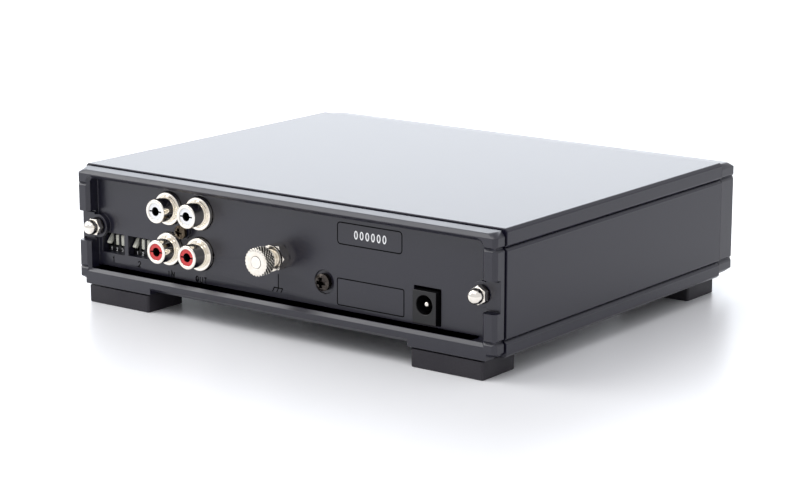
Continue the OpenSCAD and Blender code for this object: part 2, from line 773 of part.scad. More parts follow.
module rear_moulding() {
    hw = rail_x - rail_gap;
    tunnel_hw = tunnel_r + 0.4;
    color("dimgray") difference() {
        union() {
            translate([0, y_rear + seam_w, 0]) end_block(rear_t);
            both_sides() block([foot_x0 - 1.1, foot_x1 + 1.1],
                               [y_rear + seam_w, y_rim], [end_z0 - pad_drop, end_z0 + end_c + 2 * over]);
            end_step(y_rear, y_rear + seam_w + 0.5);
            // plate of the socket panel, cut away round the tunnels
            block([-hw, hw], [y_behind, y_rear + 2 * over], [rod_z + tunnel_hw, z_ceiling - lip_gap]);
            block([-hw, hw], [y_behind, y_rear + 2 * over], [z_floor + lip_gap, rod_z - tunnel_hw]);
            block([tunnel_hw - rod_x, rod_x - tunnel_hw], [y_behind, y_rear + 2 * over],
                  [rod_z - tunnel_hw - over, rod_z + tunnel_hw + over]);
            end_lips(y_behind - end_lip_l, y_behind + over);
        }
        socket_recess();
        foot_slot();
        both_sides() nut_notch();
        recess_mouth();
        for (z = [z_low, z_high]) {
            side_groove(z, y_rear + seam_w - past, y_rim + past);
            both_sides() face_groove(y_rim, z);
        }
        rear_panel_holes();
    }
}

module front_moulding() {
    hw = rod_x - tunnel_r - 1;
    y_seam = y_front - seam_w;
    color("dimgray") difference() {
        union() {
            translate([0, y_seam, 0]) mirror([0, 1, 0]) end_block(front_t);
            end_step(y_seam - 0.5, y_front);
            end_lips(y_front - over, y_front + end_lip_l);
        }
        // hollow behind the fascia
        block([-hw, hw], [y_fascia_back, y_front + over], [end_z0 + frame_t, end_z1 - frame_t]);
        for (z = [z_low, z_high]) {
            side_groove(z, y_fascia - past, y_seam + past);
            face_groove(y_fascia, z);
        }
        both_sides() {
            bar_y(rod_x, rod_z, insert_y0 - over, y_front + past, rod_hole_r, 32);
            hex_y(rod_x, rod_z, insert_y0 - over, insert_y1, nut_af + 2 * over);
        }
        bar_y(button_x, button_z, y_fascia - past, y_fascia_back + past, button_d / 2 + button_gap, 64);
        bar_y(light_x, button_z, y_fascia - past, y_fascia_back + past, light_d / 2 + over / 2, 32);
    }
}

// ---- tie rods and their nuts -------------------------------------------------

module tie_rods() {
    color("silver") both_sides() bar_y(rod_x, rod_z, insert_y0, rod_end_y, rod_d / 2, 32);
}

module tie_rod_front_nuts() {
    color("silver") both_sides() difference() {
        hex_y(rod_x, rod_z, insert_y0, insert_y1, nut_af);
        bar_y(rod_x, rod_z, insert_y0 - past, insert_y1 + past, rod_d / 2, 32);
    }
}

module tie_rod_washers() {
    color("black") both_sides() difference() {
        bar_y(rod_x, rod_z, seat_y, seat_y + washer_t, seat_r - 1.1, 64);
        bar_y(rod_x, rod_z, seat_y - past, seat_y + past, rod_hole_r, 32);
    }
}

module dome_nuts() {
    y0 = seat_y + washer_t;
    y_ball = y0 + dome_h - dome_d / 2;
    color("gainsboro") both_sides() difference() {
        union() {
            hex_y(rod_x, rod_z, y0, y0 + dome_hex_h, nut_af);
            bar_y(rod_x, rod_z, y0 + dome_hex_h - over, y_ball, dome_d / 2);
            translate([rod_x, y_ball, rod_z]) sphere(d = dome_d, $fn = 48);
        }
        bar_y(rod_x, rod_z, y0 - past, rod_end_y, rod_d / 2, 32);
    }
}

// ---- feet ------------------------------------------------------------------

// a foot that spans y0 to y0 + foot_l, with its screw at screw_y
module foot(y0, screw_y) {
    y1 = y0 + foot_l;
    z1 = z_under - foot_land;
    color("black") difference() {
        union() {
            for (x = [foot_x0 + foot_r, foot_x1 - foot_r], y = [y0 + foot_r, y1 - foot_r])
                bar_z(x, y, 0, z1, foot_r, 32);
            block([foot_x0 + foot_r, foot_x1 - foot_r], [y0, y1], [0, z1]);
            block([foot_x0, foot_x1], [y0 + foot_r, y1 - foot_r], [0, z1]);
            bar_z(foot_screw_x, screw_y, z1 - over, z_under, foot_land_d / 2);
        }
        bar_z(foot_screw_x, screw_y, -past, z_under + past, foot_screw_d / 2 + over, 32);
        bar_z(foot_screw_x, screw_y, -past, foot_sink_h, foot_screw_d / 2 + 1.6);
    }
}

module foot_rear_left() { foot(foot_rear_y1 - foot_l, foot_rear_screw_y); }
module foot_rear_right() { mirror([1, 0, 0]) foot_rear_left(); }
module foot_front_left() { foot(foot_front_y0, foot_front_screw_y); }
module foot_front_right() { mirror([1, 0, 0]) foot_front_left(); }

module foot_screws() {
    z0 = foot_sink_h - foot_head_h;
    color("gray") foot_places() difference() {
        union() {
            bar_z(0, 0, foot_sink_h - over, z_floor + 1, foot_screw_d / 2, 32);
            bar_z(0, 0, z0, foot_sink_h, foot_screw_d / 2 + 1.4);
        }
        translate([0, 0, z0]) cross_slot_z(foot_screw_d / 2, foot_screw_d / 5, foot_head_h / 2);
    }
}

// ---- circuit board -----------------------------------------------------------

module circuit_board() {
    tongue_hw = rail_x - 3;
    color("darkgreen") difference() {
        union() {
            block([-board_hw, board_hw], [board_y0, board_y1], [board_z0, board_z1]);
            block([-tongue_hw, tongue_hw], [board_y0, y_behind - fit_gap], [board_z0, board_z1]);
        }
        board_places() bar_z(0, 0, board_z0 - past, board_z1 + past, board_screw_d / 2 + over, 32);
    }
}

module board_pillars() {
    color("lightgray") board_places() difference() {
        bar_z(0, 0, z_floor, board_z0, board_screw_d / 2 + 1.3);
        bar_z(0, 0, z_floor - past, board_z0 + past, board_screw_d / 2 + over / 2, 32);
    }
}

module board_screws() {
    z1 = board_z1 + board_head_h;
    color("gray") board_places() difference() {
        union() {
            bar_z(0, 0, z_under + cover_t / 4, board_z1 + over, board_screw_d / 2, 32);
            bar_z(0, 0, board_z1, z1, board_head_r);
        }
        translate([0, 0, z1]) cross_slot_z(board_screw_d / 2, board_screw_d / 5, board_head_h / 2);
    }
}

// ---- phono sockets -----------------------------------------------------------

module rca_block() {
    color("black") difference() {
        block([rca_x - rca_block_hw, rca_x + rca_block_hw], [rca_block_y0, y_behind],
              [board_z1, rca_mid_z + rca_dz / 2 + rca_flange_d / 2 + rca_block_rim]);
        for (p = rca_places) bar_y(p[0], p[1], y_behind - rca_depth, y_behind + past, rca_d / 2 + 0.02, 64);
        bar_y(rca_x, rca_mid_z, y_behind - rca_depth, y_behind + past, rca_screw_d / 2, 32);
    }
}

// metal barrel and flange of one socket
module rca_shell(p) {
    y_flange = y_panel + rca_flange_out;
    y_end = y_panel + rca_reach;
    color("gainsboro") difference() {
        union() {
            bar_y(p[0], p[1], rca_tube_y0, y_end, rca_d / 2, 64);
            bar_y(p[0], p[1], y_behind, y_flange, rca_flange_d / 2, 64);
        }
        bar_y(p[0], p[1], rca_tube_y0 - past, y_end + past, rca_insert_d / 2, 64);
    }
}

module rca_shell_input_left() { rca_shell(rca_places[0]); }
module rca_shell_input_right() { rca_shell(rca_places[1]); }
module rca_shell_output_left() { rca_shell(rca_places[2]); }
module rca_shell_output_right() { rca_shell(rca_places[3]); }

// plastic sleeve inside a barrel, slotted at both sides of its hole
module rca_insulator(p) {
    y1 = y_panel + rca_reach - 0.3;
    slit_w = 0.5;
    slit_r = rca_insert_d / 2 - 0.3;
    difference() {
        bar_y(p[0], p[1], rca_tube_y0, y1, rca_insert_d / 2 - 0.02, 64);
        bar_y(p[0], p[1], rca_tube_y0 - past, y1 + past, rca_contact_r + 0.02);
        block([p[0] - slit_r, p[0] + slit_r], [y1 - 1, y1 + past], [p[1] - slit_w / 2, p[1] + slit_w / 2]);
    }
}

module rca_insulators_white() { color("white") for (i = [0, 2]) rca_insulator(rca_places[i]); }
module rca_insulators_red() { color("red") for (i = [1, 3]) rca_insulator(rca_places[i]); }

module rca_contacts() {
    color("silver") for (p = rca_places) difference() {
        bar_y(p[0], p[1], rca_tube_y0 + over, y_panel + rca_reach - 1.2, rca_contact_r);
        bar_y(p[0], p[1], rca_tube_y0 + 1.5, y_panel + rca_reach, rca_pin_d / 2);
    }
}

module rca_block_screw() {
    color("saddlebrown")
        pan_screw_y(rca_x, rca_mid_z, y_behind - rca_depth + 2, y_panel + rca_screw_seat + rca_screw_head_h,
                    rca_screw_head_d / 2, rca_screw_head_h, rca_screw_d / 2 - 0.02);
}

// ---- switches ------------------------------------------------------------------

// x of a key: side is 1 or -1 for the +x or -x block, n counts from the +x end
function key_x(side, n) = dip_x + side * dip_pitch / 2 + (2.5 - n) * key_pitch;

module dip_block(side) {
    xc = dip_x + side * dip_pitch / 2;
    hw = key_w / 2 + key_gap;
    color("black") difference() {
        block([xc - dip_w / 2, xc + dip_w / 2], [dip_y - dip_l, dip_y], [board_z1, dip_z1]);
        for (n = [1:4])
            block([key_x(side, n) - hw, key_x(side, n) + hw],
                  [key_y - key_t / 2 - 4 * key_gap, dip_y + past],
                  [key_z - key_l - 2 * key_gap, dip_z1 + past]);
    }
}

module dip_block_left() { dip_block(1); }
module dip_block_right() { dip_block(-1); }

// lever with a round pivot end and a round tip, hanging from the pivot
module dip_key(side, n) {
    r = key_t / 2;
    color("ivory") translate([key_x(side, n) - key_w / 2, key_y, key_z])
        rotate([n == 1 ? key_angle : 0, 0, 0]) {
            rotate([0, 90, 0]) cylinder(r = r, h = key_w, $fn = 32);
            translate([0, -r, r - key_l]) cube([key_w, key_t, key_l - r]);
            translate([0, 0, r - key_l]) rotate([0, 90, 0]) cylinder(r = r, h = key_w, $fn = 32);
        }
}

module dip_key_left_1() { dip_key(1, 1); }
module dip_key_left_2() { dip_key(1, 2); }
module dip_key_left_3() { dip_key(1, 3); }
module dip_key_left_4() { dip_key(1, 4); }
module dip_key_right_1() { dip_key(-1, 1); }
module dip_key_right_2() { dip_key(-1, 2); }
module dip_key_right_3() { dip_key(-1, 3); }
module dip_key_right_4() { dip_key(-1, 4); }

// ---- earth terminal ------------------------------------------------------------

module earth_stud() {
    color("gainsboro") {
        bar_y(earth_x, earth_z, y_behind - stud_in, y_panel + nut_end, stud_d / 2);
        hex_y(earth_x, earth_z, y_behind - stud_in - over, y_behind - tag_t, lock_af - 1);
    }
}

module earth_lock_nut() {
    color("gainsboro") difference() {
        hex_y(earth_x, earth_z, y_panel, y_panel + lock_h, lock_af);
        bar_y(earth_x, earth_z, y_panel - past, y_panel + lock_h + past, stud_d / 2);
    }
}

module earth_clamp_washer() {
    y1 = y_panel + nut_start;
    color("gainsboro") difference() {
        bar_y(earth_x, earth_z, y1 - clamp_t, y1 - over / 2, clamp_d / 2, 64);
        bar_y(earth_x, earth_z, y1 - clamp_t - past, y1 + past, stud_d / 2 + stud_gap);
    }
}

module earth_thumb_nut() {
    y0 = y_panel + nut_start;
    y1 = y0 + collar_l;
    y2 = y1 + grip_l;
    r = grip_d / 2;
    color("gainsboro") difference() {
        union() {
            bar_y(earth_x, earth_z, y0, y1, collar_d / 2, 64);
            cone_y(earth_x, earth_z, y1, y1 + grip_c, r - grip_c, r, 96);
            bar_y(earth_x, earth_z, y1 + grip_c, y2 - grip_c, r, 96);
            cone_y(earth_x, earth_z, y2 - grip_c, y2, r, r - grip_c, 96);
        }
        bar_y(earth_x, earth_z, y0 - past, y2 + past, stud_d / 2 + stud_gap);
    }
}

// ring under the stud's head, with a leg that bends onto the board
module earth_tag() {
    leg_hw = 1.5;
    color("goldenrod") difference() {
        union() {
            bar_y(earth_x, earth_z, y_behind - tag_t, y_behind, lock_af / 2);
            block([earth_x - leg_hw, earth_x + leg_hw], [y_behind - tag_t, y_behind], [board_z1, earth_z]);
            block([earth_x - leg_hw, earth_x + leg_hw], [y_behind - 5 * tag_t, y_behind],
                  [board_z1, board_z1 + tag_t]);
        }
        bar_y(earth_x, earth_z, y_behind - past, y_behind + past, stud_d / 2);
    }
}

// ---- supply inlet ----------------------------------------------------------------

module dc_jack_body() {
    spring_hw = 1;
    color("black") difference() {
        block([-jack_x - jack_w / 2, jack_w / 2 - jack_x], [jack_y0, jack_y1], [board_z1, jack_z1]);
        bar_y(-jack_x, jack_z, jack_hole_y, jack_y1 + past, jack_hole_d / 2, 64);
        bar_y(-jack_x, jack_z, jack_hole_y - 2, jack_y1, jack_pin_d / 2);
        block([-jack_x - spring_hw, spring_hw - jack_x], [jack_hole_y, jack_y1 - 1],
              [jack_z - jack_hole_d / 2 - 0.4, jack_z]);
    }
}

module dc_jack_pin() {
    r = jack_pin_d / 2;
    y1 = jack_y1 - jack_pin_set - r;
    color("silver") {
        bar_y(-jack_x, jack_z, jack_hole_y - 2, y1, r);
        translate([-jack_x, y1, jack_z]) sphere(r = r, $fn = 48);
    }
}

module dc_jack_spring() {
    z = jack_z - jack_hole_d / 2;
    hw = 0.9;
    color("silver") block([-jack_x - hw, hw - jack_x], [jack_hole_y + over, jack_y1 - 1.2], [z - 0.3, z + over / 2]);
}

// ---- bracket behind the socket panel ---------------------------------------------

module heat_sink() {
    x0 = -sink_x - sink_w / 2;
    z1 = board_z1 + sink_h;
    color("lightgray") difference() {
        union() {
            block([x0, x0 + sink_w], [y_behind - sink_t, y_behind], [board_z1, z1]);
            block([x0, x0 + sink_w], [y_behind - sink_l, y_behind], [z1 - sink_t, z1]);
        }
        bar_y(-sink_x, sink_screw_z, y_behind - sink_t - past, y_behind + past, sink_screw_d / 2, 32);
    }
}

module panel_screw() {
    color("dimgray")
        pan_screw_y(-sink_x, sink_screw_z, y_behind - sink_t - 3, y_panel - sink_dish + sink_head_h,
                    sink_head_d / 2, sink_head_h, sink_screw_d / 2 - 0.02);
}

module regulators() {
    y1 = y_behind - sink_t;
    z0 = board_z1 + reg_up;
    color("black") for (m = [-1, 1]) {
        x = m * (reg_w / 2 + 0.8) - sink_x;
        block([x - reg_w / 2, x + reg_w / 2], [y1 - reg_t, y1], [z0, z0 + reg_h]);
        for (k = [-1:1])
            translate([x + k * reg_pitch - leg_t / 2, y1 - reg_t * 0.7, board_z1]) cube([leg_t, leg_t, reg_up + over]);
    }
}

// ---- fascia controls -----------------------------------------------------------

module power_button() {
    y0 = y_fascia - button_reach;
    edge = 0.5;
    r = button_d / 2;
    color("black") {
        cone_y(button_x, button_z, y0, y0 + edge, r - edge, r, 64);
        bar_y(button_x, button_z, y0 + edge, y_fascia_back + button_tail, r, 64);
        bar_y(button_x, button_z, y_fascia_back + button_tail - over, stem_y1, stem_d / 2, 32);
    }
}

module power_switch() {
    color("gray") difference() {
        block([button_x - switch_hw, button_x + switch_hw], [switch_y0, switch_y0 + switch_l],
              [board_z1, button_z + switch_up]);
        bar_y(button_x, button_z, switch_y0 - past, stem_y1 + button_travel + 0.6, stem_d / 2 + 2 * fit_gap, 32);
    }
}

module pilot_lens() {
    color("red") {
        bar_y(light_x, button_z, y_fascia - 0.2, light_back, light_d / 2, 32);
        bar_y(light_x, button_z, y_fascia_back, y_fascia_back + 1.2, light_d / 2 + light_rim, 32);
    }
}

// lamp with a flange, and two legs that bend back onto the board
module pilot_led() {
    y0 = light_back + 2 * fit_gap;
    y1 = y0 + led_l;
    leg = 0.5;
    color("darkred") {
        bar_y(light_x, button_z, y0, y1, light_d / 2, 32);
        block([light_x - light_d / 2, light_x + light_d / 2], [y1 - over, y1 + 1],
              [button_z - light_d / 2 - over, button_z + light_d / 2]);
        for (m = [-1, 1]) {
            x = light_x + m * led_pitch / 2 - leg / 2;
            block([x, x + leg], [y1, y1 + leg], [board_z1, button_z]);
            block([x, x + leg], [y1, board_y0 + 3], [board_z1, board_z1 + leg]);
        }
    }
}

// ---- parts on the board --------------------------------------------------------

module electrolytic_capacitors() {
    big_x = half_w - big_can_in;
    big_y = board_screw_y1 - big_can_front;
    color("navy") {
        for (i = [0, 1], j = [0, 1])
            bar_z(i * big_can_dx - big_x, big_y - j * big_can_dy, board_z1, board_z1 + big_can_h, big_can_d / 2);
        for (i = [0:3]) bar_z((i - 0.7) * can_pitch, can_y, board_z1, board_z1 + can_h, can_d / 2);
    }
}

module film_capacitors() {
    color("firebrick") for (i = [0:3], j = [0, 1])
        translate([i * film_pitch - film_w / 2, film_y1 - film_t - j * (film_t + row_gap), board_z1])
            cube([film_w, film_t, film_h]);
}

module op_amps() {
    color("black") for (i = [0:2]) translate([i * op_dx, op_y, board_z1]) {
        translate([-op_l / 2, -op_w / 2, op_up]) cube([op_l, op_w, op_h]);
        for (m = [-1, 1], k = [-1.5:1:1.5])
            translate([k * op_pitch - op_pin_w / 2, m * (op_pin_y - over) - op_pin_w / 2, 0])
                cube([op_pin_w, op_pin_w, op_h / 2 + op_up]);
    }
}

module transistors() {
    r = transistor_d / 2;
    color("black") for (i = [0:5]) translate([i * transistor_pitch, transistor_y, board_z1]) difference() {
        cylinder(r = r, h = transistor_h, $fn = 32);
        translate([-r - 1, transistor_flat, -past]) cube([transistor_d + 2, r, transistor_h + 2 * past]);
    }
}

module resistors() {
    color("tan") for (i = [-2:7], j = [0, 1])
        bar_y(i * resistor_pitch, board_z1 + resistor_up,
              resistor_y1 - resistor_l - j * (resistor_l + row_gap), resistor_y1 - j * (resistor_l + row_gap),
              resistor_d / 2, 24);
}

top_cover();
bottom_cover();
side_panel_left();
side_panel_right();
rear_moulding();
front_moulding();
tie_rods();
tie_rod_front_nuts();
tie_rod_washers();
dome_nuts();
foot_rear_left();
foot_rear_right();
foot_front_left();
foot_front_right();
foot_screws();
circuit_board();
board_pillars();
board_screws();
rca_block();
rca_shell_input_left();
rca_shell_input_right();
rca_shell_output_left();
rca_shell_output_right();
rca_insulators_white();
rca_insulators_red();
rca_contacts();
rca_block_screw();
dip_block_left();
dip_block_right();
dip_key_left_1();
dip_key_left_2();
dip_key_left_3();
dip_key_left_4();
dip_key_right_1();
dip_key_right_2();
dip_key_right_3();
dip_key_right_4();
earth_stud();
earth_lock_nut();
earth_clamp_washer();
earth_thumb_nut();
earth_tag();
dc_jack_body();
dc_jack_pin();
dc_jack_spring();
panel_screw();
heat_sink();
regulators();
power_button();
power_switch();
pilot_lens();
pilot_led();
electrolytic_capacitors();
film_capacitors();
op_amps();
transistors();
resistors();
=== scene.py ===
"""Looks of a low phono preamplifier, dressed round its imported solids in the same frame, in metres.

The socket side faces +Y, the fascia faces -Y and the feet stand on z = 0. Shapes are worked out in
millimetres as numpy arrays and turned to metres when they become a mesh.
"""

import json
import math

import bmesh
import bpy
import numpy as np
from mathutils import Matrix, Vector


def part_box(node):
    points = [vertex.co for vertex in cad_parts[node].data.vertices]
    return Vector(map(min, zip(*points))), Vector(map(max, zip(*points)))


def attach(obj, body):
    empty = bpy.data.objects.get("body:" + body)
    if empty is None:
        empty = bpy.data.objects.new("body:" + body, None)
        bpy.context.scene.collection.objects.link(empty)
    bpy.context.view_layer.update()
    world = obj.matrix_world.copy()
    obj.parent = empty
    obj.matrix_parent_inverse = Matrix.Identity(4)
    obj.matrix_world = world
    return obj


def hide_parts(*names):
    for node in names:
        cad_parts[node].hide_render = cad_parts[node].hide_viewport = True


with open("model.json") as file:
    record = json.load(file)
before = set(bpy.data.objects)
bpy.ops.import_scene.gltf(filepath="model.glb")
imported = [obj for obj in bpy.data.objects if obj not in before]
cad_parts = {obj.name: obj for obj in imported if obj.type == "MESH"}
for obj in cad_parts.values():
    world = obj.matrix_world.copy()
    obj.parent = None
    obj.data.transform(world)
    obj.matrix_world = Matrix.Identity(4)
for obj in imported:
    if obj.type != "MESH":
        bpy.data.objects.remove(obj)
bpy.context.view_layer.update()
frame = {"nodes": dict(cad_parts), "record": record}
MM = 0.001


# ---- places taken from the solids --------------------------------------------

def span(node):
    """Lowest and highest corner of a solid, in millimetres."""
    low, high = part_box(node)
    return np.array(low) / MM, np.array(high) / MM


def middle(node):
    """Middle of a solid as (x, z), in millimetres."""
    low, high = span(node)
    return (low[0] + high[0]) / 2, (low[2] + high[2]) / 2


RIM_Y = span("rear_moulding")[1][1]
PANEL_Y = span("earth_lock_nut")[0][1]
EARTH_X, EARTH_Z = middle("earth_lock_nut")
STUD_R = 2.0            # radius of the earth stud's bar
MARK_DEPTH = 0.45       # of the engraved marks
MARK_LINE = 0.4         # width of their strokes
FLAT_DEGREES = 0.6      # facets that meet more flatly than this are one face
HEX_STEP = 0.12         # longest stretch of a hexagon nut's outline, so that chamfers meet flats in curves
DOWN, UP = Vector((0, 0, -1)), Vector((0, 0, 1))
FORE, AFT = Vector((0, -1, 0)), Vector((0, 1, 0))


# ---- meshes ------------------------------------------------------------------

def to_object(name, mesh):
    """Puts a mesh into the scene as an object at the origin."""
    piece = bpy.data.objects.new(name, mesh)
    bpy.context.scene.collection.objects.link(piece)
    return piece


def tidy_mesh(mesh, merge=0.002, smooth_angle=35.0, turn_out=True):
    """Merges doubles closer than merge mm, turns the faces outwards and smooths all but sharp edges."""
    work = bmesh.new()
    work.from_mesh(mesh)
    bmesh.ops.remove_doubles(work, verts=work.verts, dist=merge * MM)
    bmesh.ops.dissolve_degenerate(work, edges=work.edges, dist=merge * MM / 4)
    if turn_out:
        bmesh.ops.recalc_face_normals(work, faces=work.faces)
    work.to_mesh(mesh)
    work.free()
    mesh.polygons.foreach_set("use_smooth", np.ones(len(mesh.polygons), bool))
    mesh.set_sharp_from_angle(angle=math.radians(smooth_angle))
    mesh.update()


def grid_faces(rows, columns, start):
    """Quads of a grid of rows whose columns wrap round, with its points numbered from start."""
    row, column = np.meshgrid(np.arange(rows - 1), np.arange(columns), indexing="ij")
    beside = (column + 1) % columns
    quads = np.stack([row * columns + column, row * columns + beside,
                      (row + 1) * columns + beside, (row + 1) * columns + column], axis=-1)
    return quads.reshape(-1, 4) + start


def surface(name, sheets):
    """Makes one object of several wrapped grids, each an array (rows, columns, 3) in millimetres."""
    points, faces, start = [], [], 0
    for sheet in sheets:
        rows, columns = sheet.shape[:2]
        points.append(sheet.reshape(-1, 3) * MM)
        faces.append(grid_faces(rows, columns, start))
        start += rows * columns
    mesh = bpy.data.meshes.new(name)
    mesh.from_pydata(np.concatenate(points).tolist(), [], np.concatenate(faces).tolist())
    tidy_mesh(mesh)
    return to_object(name, mesh)


def rounded(corners, steps=5):
    """Outline through corners given as (radius, y, size). A corner whose size isn't 0 becomes the curve
    (1-t)^2 a + 2t(1-t) corner + t^2 b, where a and b lie size mm before and after it."""
    path = []
    for i, (r, y, size) in enumerate(corners):
        here = np.array([r, y])
        if size == 0:
            path.append(here[None])
            continue
        before = np.array(corners[i - 1][:2]) - here
        after = np.array(corners[i + 1][:2]) - here
        a = here + before / np.linalg.norm(before) * size
        b = here + after / np.linalg.norm(after) * size
        t = np.linspace(0, 1, steps)[:, None]
        path.append((1 - t) ** 2 * a + 2 * t * (1 - t) * here + t ** 2 * b)
    return np.concatenate(path)


def turned(outline, centre, columns=96, across=None, turn=0.0):
    """Turned surface: each (radius, y) of the outline swept round the line along Y through centre,
    x = cx + r cos a, z = cz + r sin a. With across, r is held inside a hexagon of that size over
    its flats: r = min(r, across / 2 / cos(distance of a from the middle of its flat))."""
    a = np.linspace(0, 2 * math.pi, columns, endpoint=False) + turn
    radius = np.repeat(outline[:, :1], columns, axis=1)
    if across is not None:
        off = (a - turn + math.pi / 6) % (math.pi / 3) - math.pi / 6
        radius = np.minimum(radius, across / 2 / np.cos(off)[None])
    y = np.repeat(outline[:, 1:], columns, axis=1)
    return np.stack([centre[0] + radius * np.cos(a), y, centre[1] + radius * np.sin(a)], axis=-1)


def screw_head(centre, radius, y_base, y_top, crown, arm, slot, depth, columns=160, rows=44):
    """Head of a cross-recess screw, a polar grid out from the middle, whose points lie (u, v) off it:
    y = y_top - crown (r / R)^2, less depth where |u| < slot / 2 and |v| < arm, or the other way round.
    The recess's walls lean over wall mm. A rounded edge leads down to y_base."""
    wall, edge = 0.16, 0.12
    a = np.linspace(0, 2 * math.pi, columns, endpoint=False)
    r = np.linspace(0, radius - edge, rows)[:, None]
    u, v = np.abs(r * np.cos(a)), np.abs(r * np.sin(a))
    inside = np.maximum(np.minimum(slot / 2 - u, arm - v), np.minimum(slot / 2 - v, arm - u))
    sunk = np.clip(inside / wall + 0.5, 0, 1) * depth
    y = y_top - crown * (r / radius) ** 2 - sunk
    top = np.stack([centre[0] + r * np.cos(a), y, centre[1] + r * np.sin(a)], axis=-1)
    y_edge = y_top - crown * (1 - edge / radius) ** 2
    side = rounded([(radius - edge, y_edge, 0), (radius, y_edge, edge * 0.9), (radius, y_base, 0),
                    (0, y_base, 0)])
    return np.concatenate([top, turned(side, centre, columns)])


def knurled(centre, radius, y0, y1, edge, teeth=24, depth=0.5, columns=480, rows=48):
    """Knurled grip: r = R - depth * max(g1, g2), where each g runs across V grooves at 45 degrees, one set
    turned to each hand: g = 2 |frac(teeth a / 2 pi +- (y - y0) teeth / (2 pi R)) - 1/2|, of which the
    first land is flat and the rest is stretched to 0..1. A chamfer edge mm deep draws both ends in,
    steep mm inwards for each mm of length."""
    land, steep = 0.36, 2
    a = np.linspace(0, 2 * math.pi, columns, endpoint=False)[None]
    y = np.linspace(y0, y1, rows)[:, None]
    turn = teeth * a / (2 * math.pi)
    lead = (y - y0) * teeth / (2 * math.pi * radius)
    grooves = [np.abs(((turn + way * lead) % 1) - 0.5) * 2 for way in (-1, 1)]
    cut = np.clip((np.maximum(*grooves) - land) / (1 - land), 0, 1)
    r = radius - depth * cut
    near_end = np.minimum(y - y0, y1 - y)
    r = np.minimum(r, radius - edge + steep * near_end)
    y = np.repeat(y, columns, axis=1)
    return np.stack([centre[0] + r * np.cos(a), y, centre[1] + r * np.sin(a)], axis=-1)


def refined(outline, step):
    """The same outline with points added, so that none lie farther apart than step mm."""
    length = np.concatenate([[0], np.cumsum(np.linalg.norm(np.diff(outline, axis=0), axis=1))])
    at = np.union1d(length, np.arange(0, length[-1], step))
    return np.stack([np.interp(at, length, outline[:, k]) for k in (0, 1)], axis=-1)


def copy_of(node, inner, angle=32.0, share=lambda at: 1.0):
    """Copy of a solid with whole flat faces. Its edges over angle degrees are marked to be rounded, each
    by the share of the full width that its middle point gives. The edges of faces that look along inner
    stay sharp, because they are out of sight."""
    mesh = frame["nodes"][node].data.copy()
    mesh.materials.clear()
    mesh.attributes.remove(mesh.attributes["custom_normal"])
    tidy_mesh(mesh, turn_out=False)
    work = bmesh.new()
    work.from_mesh(mesh)
    bmesh.ops.dissolve_limit(work, angle_limit=math.radians(FLAT_DEGREES), verts=work.verts,
                             edges=work.edges, delimit={"NORMAL"})
    mark = work.edges.layers.float.new("bevel_weight_edge")
    aligned = 0.9       # cosine from which a face looks along inner
    for edge in work.edges:
        unseen = any(face.normal.dot(inner) > aligned for face in edge.link_faces)
        if edge.calc_face_angle(0) > math.radians(angle) and not unseen:
            middle_point = (edge.verts[0].co + edge.verts[1].co) / 2 / MM
            edge[mark] = share(middle_point)
    work.to_mesh(mesh)
    work.free()
    return to_object(node + "_finished", mesh)


def bake_modifiers(piece):
    """Turns the modifiers of a piece into its mesh."""
    shaped = piece.evaluated_get(bpy.context.evaluated_depsgraph_get())
    mesh = bpy.data.meshes.new_from_object(shaped)
    piece.modifiers.clear()
    piece.data = mesh


def round_edges(piece, width, segments=2):
    """Rounds the marked edges of a piece, width mm wide, and levels the normals of its flat faces."""
    rounding = piece.modifiers.new("rounded edges", "BEVEL")
    rounding.width = width * MM
    rounding.segments = segments
    rounding.limit_method = "WEIGHT"
    rounding.use_clamp_overlap = False
    rounding.miter_outer = "MITER_ARC"
    level = piece.modifiers.new("level faces", "WEIGHTED_NORMAL")
    level.weight = 100
    level.keep_sharp = True
    bake_modifiers(piece)


# ---- materials ---------------------------------------------------------------

def colour(hex_value):
    """sRGB hex value as linear RGBA."""
    channels = np.array([int(hex_value[i:i + 2], 16) for i in (1, 3, 5)]) / 255
    linear = np.where(channels <= 0.04045, channels / 12.92, ((channels + 0.055) / 1.055) ** 2.4)
    return (*linear.tolist(), 1.0)


def add(tree, kind, values=None, links=None, **settings):
    """Adds one shader node, sets its properties and input values, and links its inputs."""
    node = tree.nodes.new("ShaderNode" + kind)
    for name, value in settings.items():
        setattr(node, name, value)
    for socket, value in (values or {}).items():
        node.inputs[socket].default_value = value
    for socket, output in (links or {}).items():
        tree.links.new(output, node.inputs[socket])
    return node


def blank(name):
    """New material with only a Principled shader and its output. Returns material, tree and shader."""
    material = bpy.data.materials.new(name)
    material.use_nodes = True
    tree = material.node_tree
    tree.nodes.clear()
    shader = add(tree, "BsdfPrincipled")
    add(tree, "OutputMaterial", links={"Surface": shader.outputs["BSDF"]})
    return material, tree, shader


